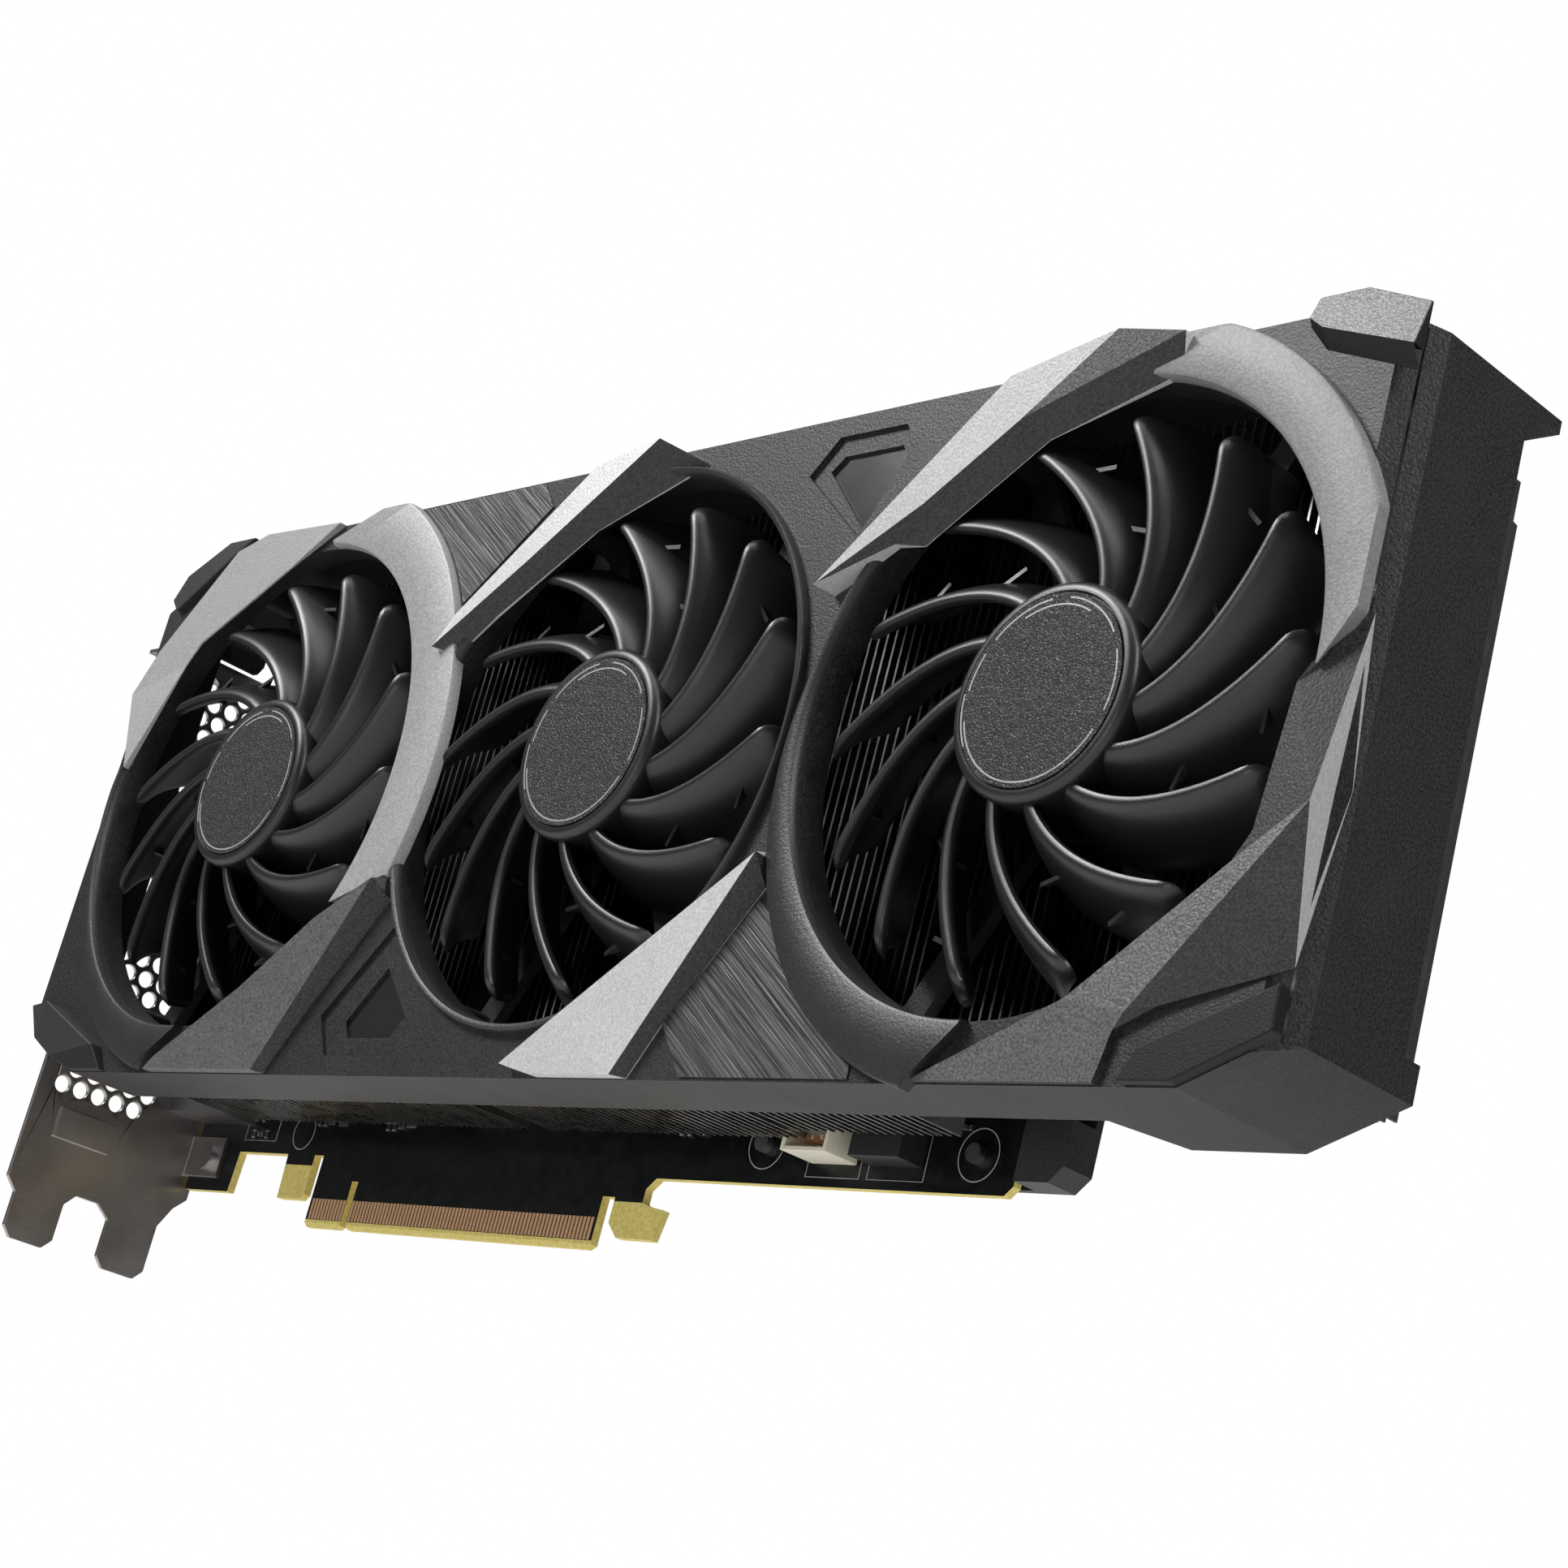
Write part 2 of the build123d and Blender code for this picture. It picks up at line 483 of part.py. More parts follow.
# ---------------------------------------------------------------- bracket and video ports
VENT_PITCH = 4.1
VENT_R = 1.6
VENT_ROWS = 25
PORT_ZS = (27.4, 47.6, 67.8)
HDMI_Z = 86.4
PORT_Y = -6.2


def bracket_outline():
    """(y, z) outline of the slot bracket with its two tongues."""
    return (
        (BRACKET_BACK, 3.7), (-1.6, 1.2), (-3.8, -3.0), (-3.8, -12.2), (-5.6, -14.1), (-12.8, -14.1),
        (-14.6, -12.2), (-14.6, -5.0), (-17.6, -2.7), (-22.6, -2.7), (-24.7, -5.0), (-24.7, -12.2),
        (-26.5, -14.1), (-33.6, -14.1), (-35.4, -12.2), (-35.4, -5.6), (BRACKET_FRONT, -3.2),
        (BRACKET_FRONT, BRACKET_TOP), (BRACKET_BACK, BRACKET_TOP),
    )


def vent_points():
    points = []
    for row in range(VENT_ROWS):
        shift = VENT_PITCH / 2 if row % 2 else 0.0
        for column in range(5):
            points.append((-32.8 + shift + column * VENT_PITCH, 16.5 + row * VENT_PITCH * 0.866))
    return points


sheet = make_face(Polyline(*bracket_outline(), close=True))
with BuildSketch() as openings_sketch:
    with Locations(*vent_points()):
        Circle(VENT_R)
    with Locations(*[(PORT_Y, z) for z in PORT_ZS]):
        Rectangle(5.4, 17.0)
    with Locations((PORT_Y, HDMI_Z)):
        Rectangle(5.2, 15.0)
thickness = BRACKET_IN - BRACKET_OUT
bracket = Pos(BRACKET_OUT, 0, 0) * extrude(Plane.YZ * (sheet - openings_sketch.sketch), amount=thickness)
flange = block(BRACKET_OUT - 11.4, BRACKET_IN, BRACKET_FRONT, BRACKET_BACK, BRACKET_TOP, BRACKET_TOP + 0.9)
for y in (-29.0, -8.7):
    flange -= block(-101.5, -95.5, y - 2.2, y + 2.2, 100, 110)
    flange -= Pos(-95.5, y, BRACKET_TOP) * Cylinder(2.2, 5)
bracket += flange
for x, z in BRACKET_SCREWS:
    bracket += block(BRACKET_IN, x + 4.0, BOARD_FRONT - 0.9, BOARD_FRONT, z - 4.0, z + 4.0)
    bracket -= disc(x, z, 1.5, -3, 0)
bracket += block(BRACKET_IN, -87.5, -31.6, -19.2, 6.6, 12.4)
save("slot_bracket", bracket)
board_screws = [disc(x, z, 1.5, BOARD_FRONT - 0.9, 2.0) + disc(x, z, 2.7, BOARD_FRONT - 2.3, BOARD_FRONT - 0.9)
                for x, z in BRACKET_SCREWS]


def video_port(z, half_width, half_height):
    """Metal shell with an open mouth and a contact tongue."""
    shell = block(BRACKET_OUT + 0.1, -69.0, PORT_Y - half_height, BOARD_FRONT, z - half_width, z + half_width)
    shell -= block(-90, -72.0, PORT_Y - half_height + 0.4, PORT_Y + half_height - 0.4, z - half_width + 0.4,
                   z + half_width - 0.4)
    shell -= block(-90, BRACKET_IN + 0.1, PORT_Y + half_height, 0, z - half_width, z + half_width)
    tongue = block(-88.0, -72.0, PORT_Y - 0.6, PORT_Y + 0.6, z - half_width + 2.0, z + half_width - 2.0)
    return shell, tongue


display_ports = []
for z in PORT_ZS:
    display_ports.extend(video_port(z, 8.4, 2.6))
save("display_ports", display_ports)
save("hdmi_port", video_port(HDMI_Z, 7.4, 2.5))

# ---------------------------------------------------------------- backplate and its fasteners
BACKPLATE = ((-84.0, 20.0), (-78.0, 14.5), (143.0, 14.5), (145.5, 17.0), (145.5, 26.5), (194.0, 26.5),
             (198.0, 30.5), (198.0, 114.0), (194.0, 118.0), (-82.0, 118.0), (-84.0, 116.0))
LIP_OUTLINE = ((136.2, 14.5), (143.0, 14.5), (145.5, 17.0), (145.5, 24.0), (136.2, 24.0))
VENT_SLOTS = 7
backplate = prism(BACKPLATE, BACKPLATE_IN, BACKPLATE_OUT) + prism(LIP_OUTLINE, -2.0, BACKPLATE_IN)
for i in range(VENT_SLOTS):
    x = 150.0 + i * 6.4
    backplate -= prism(((x, 36.0), (x + 3.4, 32.0), (x + 3.4, 100.0), (x, 104.0)), 0, 6)
backplate -= block(GPU_X - 31, GPU_X + 31, 0, 6, GPU_Z - 31, GPU_Z + 31)
for x, z in PLATE_SCREWS:
    backplate += disc(x, z, 3.2, BOARD_BACK, BACKPLATE_IN)
    backplate -= disc(x, z, 1.5, 0, 6)
save("backplate", backplate)
board_screws += [disc(x, z, 1.5, -2.2, BACKPLATE_OUT) + disc(x, z, 2.6, BACKPLATE_OUT, 5.6)
                 for x, z in PLATE_SCREWS]
save("board_screws", board_screws)
save("spring_screws", [disc(x, z, 1.4, -7.0, 4.6) + disc(x, z, 2.9, 4.6, 5.9) for x, z in SPRING_POINTS])


def coil_spring(x, z):
    """Compression spring between the board's back and the screw's head."""
    path = Helix(pitch=1.1, height=3.0, radius=2.2)
    wire = sweep(Plane(path @ 0, z_dir=path % 0) * Circle(0.22), path=path)
    return Pos(x, BOARD_BACK + 0.35, z) * Rot(-90, 0, 0) * wire


save("clamp_springs", [coil_spring(x, z) for x, z in SPRING_POINTS])
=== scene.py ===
import math

import bmesh
import bpy
from mathutils import Matrix, Vector


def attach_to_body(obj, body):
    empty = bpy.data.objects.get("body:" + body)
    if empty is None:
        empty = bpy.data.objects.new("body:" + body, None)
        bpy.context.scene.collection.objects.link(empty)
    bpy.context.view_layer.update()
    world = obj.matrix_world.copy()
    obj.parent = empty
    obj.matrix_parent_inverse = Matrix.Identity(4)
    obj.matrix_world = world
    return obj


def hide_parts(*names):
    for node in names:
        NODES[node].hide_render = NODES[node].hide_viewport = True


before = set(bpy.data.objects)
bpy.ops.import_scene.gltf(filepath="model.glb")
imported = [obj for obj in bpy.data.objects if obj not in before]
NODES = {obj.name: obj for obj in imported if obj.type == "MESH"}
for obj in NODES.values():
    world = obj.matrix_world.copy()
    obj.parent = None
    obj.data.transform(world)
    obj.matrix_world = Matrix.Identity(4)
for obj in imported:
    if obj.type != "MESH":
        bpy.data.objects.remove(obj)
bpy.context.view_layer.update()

MM = 0.001

# Lengths are in millimetres; those of materials, lights, floor and camera are in metres.
# Fan layout, as in the solid model.
FAN_XS = {"left": -35.9, "middle": 63.3, "right": 162.5}
FAN_Z = 71.3
PHASES = {"left": 3.0, "middle": 2.6, "right": 9.6}
BLADES = 14


# ---------------------------------------------------------------- node materials
class Shader:
    """A principled material with its tree, and short ways to add and join nodes."""

    def __init__(self, name, colour, rough, metal=0.0, specular=0.5):
        self.material = bpy.data.materials.new(name)
        self.material.use_nodes = True
        self.tree = self.material.node_tree
        self.bsdf = self.tree.nodes["Principled BSDF"]
        self.bsdf.inputs["Base Color"].default_value = (*colour, 1.0)
        self.bsdf.inputs["Roughness"].default_value = rough
        self.bsdf.inputs["Metallic"].default_value = metal
        self.bsdf.inputs["Specular IOR Level"].default_value = specular
        self.coords = self.add("ShaderNodeTexCoord").outputs["Object"]

    def add(self, kind, **values):
        node = self.tree.nodes.new(kind)
        for key, value in values.items():
            if key in node.inputs:
                node.inputs[key].default_value = value
            else:
                setattr(node, key, value)
        return node

    def join(self, output, socket):
        self.tree.links.new(output, socket)

    def mapped(self, rotation=(0, 0, 0), scale=(1, 1, 1)):
        """Coordinates turned first, and stretched afterwards."""
        turned = self.add("ShaderNodeMapping")
        turned.inputs["Rotation"].default_value = rotation
        self.join(self.coords, turned.inputs["Vector"])
        stretched = self.add("ShaderNodeMapping")
        stretched.inputs["Scale"].default_value = scale
        self.join(turned.outputs["Vector"], stretched.inputs["Vector"])
        return stretched.outputs["Vector"]

    def noise(self, scale, detail=2.0, vector=None):
        node = self.add("ShaderNodeTexNoise", Scale=scale, Detail=detail)
        self.join(vector or self.coords, node.inputs["Vector"])
        return node.outputs["Fac"]

    def ramp(self, value, low, high):
        """Colour ramp between two (position, colour) stops."""
        node = self.add("ShaderNodeValToRGB")
        for element, (position, colour) in zip(node.color_ramp.elements, (low, high)):
            element.position = position
            element.color = (*colour, 1.0)
        self.join(value, node.inputs["Fac"])
        return node.outputs["Color"]

    def blend(self, factor, a, b):
        """Mix of two colours, each a tuple or an output."""
        node = self.add("ShaderNodeMix", data_type="RGBA")
        sockets = [s for s in node.inputs if s.type == "RGBA"]
        for socket, value in zip(sockets, (a, b)):
            if isinstance(value, tuple):
                socket.default_value = (*value, 1.0)
            else:
                self.join(value, socket)
        self.join(factor, node.inputs[0])
        return next(s for s in node.outputs if s.type == "RGBA")

    def maths(self, operation, a, b=0.0):
        """Math node of an output and a second output or number."""
        node = self.add("ShaderNodeMath", operation=operation)
        self.join(a, node.inputs[0])
        if isinstance(b, float):
            node.inputs[1].default_value = b
        else:
            self.join(b, node.inputs[1])
        return node.outputs["Value"]

    def colour(self, output):
        self.join(output, self.bsdf.inputs["Base Color"])

    def roughness(self, factor, low, high):
        node = self.add("ShaderNodeMapRange")
        node.inputs["To Min"].default_value = low
        node.inputs["To Max"].default_value = high
        self.join(factor, node.inputs["Value"])
        self.join(node.outputs["Result"], self.bsdf.inputs["Roughness"])

    def bump(self, height, distance):
        node = self.add("ShaderNodeBump", Strength=1.0, Distance=distance)
        self.join(height, node.inputs["Height"])
        self.join(node.outputs["Normal"], self.bsdf.inputs["Normal"])


def grained(name, colour, rough, grain=2600.0, depth=0.00006, speckle_and_glint=0.25, metal=0.0, specular=0.5):
    """Moulded plastic with a spark-eroded grain: fine bumps, and flecks a little lighter and darker than its
    colour, partly the grain's own tone and partly painted glints.
    """
    s = Shader(name, colour, rough, metal, specular)
    fine = s.noise(grain, 3.0)
    broad = s.noise(90.0, 4.0)
    # Flecks lighter and darker than the colour: partly grain tone, partly painted glints of the grain.
    dark = tuple(c * (1 - speckle_and_glint) for c in colour)
    light = tuple(min(1.0, c * (1 + speckle_and_glint)) for c in colour)
    flecks = s.ramp(fine, (0.35, dark), (0.65, light))
    s.colour(s.blend(s.ramp(broad, (0.3, (0.0,) * 3), (0.7, (0.16,) * 3)), flecks, light))
    s.roughness(broad, rough - 0.05, rough + 0.06)
    s.bump(fine, depth)
    return s.material


def brushed(name, colour, angle, rough):
    """Plastic with straight, uneven brushed lines on its face."""
    s = Shader(name, colour, rough, 0.0, 0.6)
    lines = s.mapped((0, math.radians(angle), 0), (55.0, 55.0, 2600.0))
    streaks = s.noise(1.0, 3.0, lines)
    light = tuple(c * 3.4 for c in colour)
    s.colour(s.ramp(streaks, (0.38, tuple(c * 0.45 for c in colour)), (0.62, light)))
    s.roughness(streaks, rough - 0.08, rough + 0.15)
    s.bump(streaks, 0.00012)
    return s.material


def leather(name, colour, rough):
    """Hub disc: small pebbled cells with dark seams, their outlines warped by noise."""
    s = Shader(name, colour, rough, specular=0.35)
    cells = s.add("ShaderNodeTexVoronoi", Scale=2300.0, feature="DISTANCE_TO_EDGE")
    warp = s.add("ShaderNodeVectorMath", operation="MULTIPLY_ADD")
    s.join(s.noise(1300.0), warp.inputs[0])
    warp.inputs[1].default_value = (0.0007,) * 3
    s.join(s.coords, warp.inputs[2])
    s.join(warp.outputs["Vector"], cells.inputs["Vector"])
    pebble = s.maths("MULTIPLY", cells.outputs["Distance"], 2.2)
    dark = tuple(c * 0.45 for c in colour)
    light = tuple(c * 1.5 for c in colour)
    s.colour(s.ramp(pebble, (0.02, dark), (0.5, light)))
    s.bump(pebble, 0.00009)
    return s.material


def metal(name, colour, rough, cloud=60.0, spread=0.15, scratch=0.0):
    """Sheet or machined metal with a cloudy finish and optional fine scratches."""
    s = Shader(name, colour, rough, 1.0)
    clouds = s.noise(cloud, 5.0)
    s.colour(s.ramp(clouds, (0.3, tuple(c * (1 - spread) for c in colour)),
                    (0.7, tuple(min(1.0, c * (1 + spread)) for c in colour))))
    s.roughness(clouds, rough - 0.06, rough + 0.1)
    if scratch:
        s.bump(s.noise(1.0, 3.0, s.mapped((0, 0, 0), (120.0, 120.0, 4200.0))), scratch)
    return s.material


MATERIALS = {
    "shell": grained("shell_grain", (0.014, 0.014, 0.0145), 0.46, depth=0.00009, speckle_and_glint=0.85,
                     specular=0.35),
    "guard": grained("guard_plastic", (0.022, 0.022, 0.0225), 0.42, grain=3600.0, speckle_and_glint=0.3, specular=0.4),
    # Darker copy of the guard plastic, for facets turned away from the light: painted shade.
    "guard_shaded": grained("guard_shaded", (0.006, 0.006, 0.006), 0.5, grain=3600.0, speckle_and_glint=0.3, specular=0.25),
    # One grey trim paint in lit and shaded copies, here and in the two darker copies below. Each piece or
    # facet takes the copy that is as light as the light falling on it, so these lightness levels are painted
    # light and shade. The right crescent's copy is a painted shade of the left one's.
    "trim_lit": grained("trim_lit_grey", (0.36, 0.36, 0.365), 0.4, metal=0.3, speckle_and_glint=0.14),
    "bar_brightest_lit": grained("bar_brightest_lit_grey", (0.56, 0.56, 0.565), 0.4, metal=0.3, speckle_and_glint=0.16),
    "crescent": grained("crescent_lit_grey", (0.28, 0.28, 0.282), 0.5, metal=0.1, speckle_and_glint=0.2),
    "crescent_right": grained("crescent_right_shaded_grey", (0.17, 0.17, 0.172), 0.5, metal=0.1, speckle_and_glint=0.2),
    "tin": metal("solder_tin", (0.6, 0.6, 0.6), 0.3, 900.0),
    "print": grained("print_grey", (0.36, 0.36, 0.36), 0.6, speckle_and_glint=0.1),
    # Two more shaded copies of the same grey trim paint, for facets turned away from the light: painted
    # shade.
    "trim_half_shaded": grained("trim_half_shaded_grey", (0.1, 0.1, 0.102), 0.42, depth=0.00008, metal=0.3, speckle_and_glint=0.5),
    "trim_shaded": grained("trim_shaded_grey", (0.022, 0.022, 0.0225), 0.46, depth=0.00008, metal=0.1,
                         speckle_and_glint=0.7, specular=0.35),
    "ring": grained("ring_black", (0.02, 0.02, 0.0205), 0.38, speckle_and_glint=0.25, specular=0.4),
    "brushed": brushed("brushed_black", (0.02, 0.02, 0.021), -35.0, 0.36),
    "inset": grained("inset_satin", (0.016, 0.016, 0.017), 0.2, grain=5000.0, depth=0.00001, speckle_and_glint=0.1),
    "rotor": grained("rotor_satin", (0.01, 0.01, 0.01), 0.33, grain=5200.0, depth=0.00003, speckle_and_glint=0.15),
    "duct": grained("duct_black", (0.008, 0.008, 0.008), 0.5, speckle_and_glint=0.2),
    "hub": leather("hub_leather", (0.012, 0.012, 0.0123), 0.45),
    "line": grained("hub_line", (0.3, 0.3, 0.305), 0.35, speckle_and_glint=0.05),
    "steel": metal("steel_machined", (0.5, 0.5, 0.51), 0.3),
    "nickel": metal("nickel_sheet", (0.42, 0.39, 0.37), 0.3, 45.0, 0.25, 0.00002),
    "screw": metal("screw_black", (0.1, 0.1, 0.1), 0.35),
    "magnet": metal("magnet_sintered", (0.12, 0.12, 0.12), 0.6, 900.0),
    "winding": metal("winding_copper", (0.62, 0.3, 0.16), 0.35, 1500.0),
    "fin": metal("fin_aluminium", (0.3, 0.29, 0.28), 0.26, 200.0, 0.12),
    "copper": metal("pipe_nickelled", (0.55, 0.5, 0.46), 0.25, 120.0),
    "chip": grained("chip_moulded", (0.02, 0.02, 0.022), 0.45, grain=6000.0, speckle_and_glint=0.2),
    "die": grained("die_polished", (0.06, 0.06, 0.075), 0.08, grain=9000.0, depth=0.000002, speckle_and_glint=0.05),
    "ferrite": grained("ferrite_grey", (0.12, 0.12, 0.12), 0.5, speckle_and_glint=0.4),
    "can": metal("can_aluminium", (0.6, 0.6, 0.62), 0.35),
    "pad": grained("pad_soft", (0.32, 0.35, 0.38), 0.8, speckle_and_glint=0.2),
    "socket": grained("socket_black", (0.015, 0.015, 0.015), 0.4, speckle_and_glint=0.2),
    "white": grained("header_white", (0.72, 0.68, 0.55), 0.4, grain=1800.0, depth=0.00001, speckle_and_glint=0.05),
    "backplate": grained("backplate_anodised", (0.05, 0.05, 0.052), 0.4, metal=0.5, speckle_and_glint=0.2),
}


# bare laminate: X range and top, in metres, of the tab beside the tongue, the hook and the tongue's foot
BARE_PATCHES = (((-0.0545, -0.0455), 0.0116), ((0.0457, 0.062), 0.0083), ((-0.0427, 0.0427), 0.0014))
MASK_COLOUR = (0.003, 0.0035, 0.004)
TRACE_COLOUR = (0.006, 0.007, 0.0075)


def board_material():
    """Black solder mask on the faces, bare yellow laminate on the cut edges and lower tabs."""
    s = Shader("board_mask", MASK_COLOUR, 0.3, specular=0.3)
    place = s.add("ShaderNodeSeparateXYZ")
    s.join(s.coords, place.inputs["Vector"])
    facing = s.add("ShaderNodeSeparateXYZ")
    s.join(s.add("ShaderNodeNewGeometry").outputs["Normal"], facing.inputs["Vector"])
    x, z = place.outputs["X"], place.outputs["Z"]
    bare = s.maths("LESS_THAN", s.maths("ABSOLUTE", facing.outputs["Y"]), 0.5)
    for (low, high), top in BARE_PATCHES:
        across = s.maths("MULTIPLY", s.maths("GREATER_THAN", x, low), s.maths("LESS_THAN", x, high))
        bare = s.maths("MAXIMUM", bare, s.maths("MULTIPLY", across, s.maths("LESS_THAN", z, top)))
    weave = s.noise(1600.0)
    laminate = s.ramp(weave, (0.3, (0.62, 0.5, 0.13)), (0.7, (0.78, 0.66, 0.22)))
    traces = s.ramp(s.noise(500.0, 0.0), (0.48, MASK_COLOUR), (0.52, TRACE_COLOUR))
    s.colour(s.blend(bare, traces, laminate))
    s.roughness(bare, 0.28, 0.6)
    s.bump(weave, 0.00001)
    return s.material


MATERIALS["board"] = board_material()
MATERIALS["gold"] = grained("contact_gold", (0.72, 0.44, 0.24), 0.3, 5000.0, 0.00001, 0.1, metal=0.35)

NODE_MATERIALS = {
    "shroud_shell": "shell", "pocket_insets": "inset", "brushed_inserts": "brushed", "corner_guards": "guard",
    "trim_ring_left": "ring", "trim_ring_middle": "ring", "trim_ring_right": "ring",
    # The grey trim nodes take lit and shaded copies of one paint: painted light and shade.
    "trim_crescent_left": "trim_lit", "trim_crescent_right": "trim_lit", "trim_band_left": "trim_lit",
    "trim_bar_left": "trim_half_shaded", "trim_bar_middle_upper": "trim_lit", "trim_bar_middle_lower": "trim_lit",
    "trim_bar_right_upper": "trim_lit", "trim_facets_tail": "trim_half_shaded",
    "fan_stators": "winding", "fan_bearings": "copper", "fan_boards": "board", "fan_screws": "screw",
    "fin_stack_board": "fin", "fin_stack_tail": "fin", "heat_pipes": "copper", "cold_plate": "copper",
    "circuit_board": "board", "edge_contacts": "gold", "gpu_substrate": "chip", "gpu_die": "die",
    "memory_chips": "chip", "thermal_pads": "pad", "memory_plate": "fin", "chokes": "ferrite",
    "power_stages": "chip", "capacitors": "can", "power_socket": "socket", "connector_pins": "gold",
    "fan_header": "white", "lighting_header": "socket", "slot_bracket": "nickel", "board_screws": "steel",
    "display_ports": "steel", "hdmi_port": "steel", "backplate": "backplate", "spring_screws": "steel",
    "clamp_springs": "steel",
}
for fan in FAN_XS:
    NODE_MATERIALS[f"fan_rotor_{fan}"] = "rotor"
    NODE_MATERIALS[f"hub_disc_{fan}"] = "hub"
    NODE_MATERIALS[f"fan_shaft_{fan}"] = "steel"
    NODE_MATERIALS[f"magnet_ring_{fan}"] = "magnet"
    NODE_MATERIALS[f"fan_frame_{fan}"] = "duct"

for node_name, key in NODE_MATERIALS.items():
    node = NODES[node_name]
    node.data.materials.clear()
    node.data.materials.append(MATERIALS[key])


# ---------------------------------------------------------------- mesh helpers
def mesh_object(name, verts, faces, keys, marks=()):
    """Object from points in millimetres; marks say which of the material keys each face takes."""
    mesh = bpy.data.meshes.new(name)
    mesh.from_pydata([Vector(v) * MM for v in verts], [], faces)
    for key in keys:
        mesh.materials.append(MATERIALS[key])
    for polygon, mark in zip(mesh.polygons, marks):
        polygon.material_index = mark
    obj = bpy.data.objects.new(name, mesh)
    bpy.context.scene.collection.objects.link(obj)
    return obj


def face_outwards(mesh):
    work = bmesh.new()
    work.from_mesh(mesh)
    bmesh.ops.recalc_face_normals(work, faces=work.faces)
    work.to_mesh(mesh)
    work.free()


def smooth_by_angle(obj, degrees):
    """Smooth shading, apart from edges sharper than an angle."""
    for polygon in obj.data.polygons:
        polygon.use_smooth = True
    bpy.context.view_layer.objects.active = obj
    obj.select_set(True)
    bpy.ops.object.shade_smooth_by_angle(angle=math.radians(degrees))
    obj.select_set(False)


def add_bevel(obj, width, segments=3, degrees=20.0):
    modifier = obj.modifiers.new("edge", "BEVEL")
    modifier.width = width * MM
    modifier.segments = segments
    modifier.limit_method = "ANGLE"
    modifier.angle_limit = math.radians(degrees)
    modifier.harden_normals = True


def attach(obj, body, replaced=()):
    """Ride on a body, and stand for the named solid-model nodes."""
    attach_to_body(obj, body)
    if replaced:
        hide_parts(*replaced)


def piece(name, verts, faces, key, body, slot, replaced=(), bevel=0.0, degrees=30.0):
    """A closed mesh piece of one material, riding on a body."""
    obj = mesh_object(name, verts, faces, [key])
    obj.data.validate()
    face_outwards(obj.data)
    smooth_by_angle(obj, degrees)
    if bevel:
        add_bevel(obj, bevel)
    attach(obj, body, replaced)


def grid_faces(rows, columns, offset=0):
    """Quads of a grid of points, wrapped round its columns."""
    faces = []
    for i in range(rows - 1):
        for j in range(columns):
            a = offset + i * columns + j
            b = offset + i * columns + (j + 1) % columns
            faces.append((a, b, b + columns, a + columns))
    return faces


def polar(x0, r, y, angle):
    """Point at a radius and an angle, in radians, round the fan axis at x0."""
    return (x0 + r * math.cos(angle), y, FAN_Z + r * math.sin(angle))


# ---------------------------------------------------------------- fan rotors
BLADE_ROOT_R = 15.4
HUB_SIDE_R = 16.0
TIP_ROUND_R = 39.0      # the tip's corners start to round here
TIP_R = 43.0
BLADE_FRONT = -42.9
BLADE_BACK = -31.9
BLADE_HALF = 1.25
CAMBER = 0.9
NOSE = 0.14             # share of a section's length in its rounded front edge
TAPER = 0.94            # share at which a section starts to close at its back edge
SECTION_STEPS = 12
SECTIONS = 27
WINGLETS = ((26.5, 13.0), (36.5, 8.5))      # radius and span in degrees
WINGLET_HALF = 0.35
HUB_STEPS = 96
HUB_EDGE_R = 1.5
HUB_EDGE_STEPS = 6
# (radius, y) of the hub's profile: bore, inside and skirt, and, past the rounded edge, the disc's recess
HUB_BACK = ((0.01, -43.0), (1.5, -43.0), (1.5, -40.6), (3.2, -40.6), (3.2, -42.3), (14.9, -42.3),
            (14.9, -32.0), (16.3, -32.0), (16.5, -32.4), (16.5, -42.6))
HUB_FRONT = ((14.75, -44.3), (14.6, -44.15), (14.6, -43.9), (0.01, -43.9))


def lead_angle(r):
    """Angle of a blade's front edge at a radius, in degrees behind its tip."""
    return -41.5 + 1.755 * (r - HUB_SIDE_R) - 0.01926 * (r - HUB_SIDE_R) * (r - 31.5)


def twist(r):
    """How far the back edge turns from the front edge, in degrees."""
    return -24.0 + 14.0 * (r - HUB_SIDE_R) / (TIP_R - HUB_SIDE_R)


def blade_section(r):
    """Closed loop round the blade at one radius: (angle in radians, y) pairs."""
    tip = max(0.0, (r - TIP_ROUND_R) / (TIP_R - TIP_ROUND_R))
    front = BLADE_FRONT + 2.6 * tip ** 3
    back = BLADE_BACK - 1.2 * tip ** 3
    start = lead_angle(r) - 2.0 * tip ** 3
    half = BLADE_HALF * math.sqrt(max(0.02, 1.0 - tip ** 4))
    along_t, along_y = math.radians(twist(r)) * r, back - front
    length = math.hypot(along_t, along_y)
    normal_t, normal_y = -along_y / length, along_t / length
    loop = []
    for side in (1, -1):
        for k in range(SECTION_STEPS):
            c = (1 - math.cos(math.pi * k / SECTION_STEPS)) / 2
            c = c if side == 1 else 1 - c
            if c < NOSE:
                shape = math.sqrt(c / NOSE * (2 - c / NOSE))
            else:
                shape = 1 - 0.5 * (c - NOSE) / (1 - NOSE)
            if c > TAPER:
                shape *= math.sqrt(max(0.0, (1 - c) / (1 - TAPER)))
            out = side * half * shape + CAMBER * math.sin(math.pi * c)
            t = math.radians(start) * r + along_t * c + normal_t * out
            loop.append((t / r, front + along_y * c + normal_y * out))
    return loop


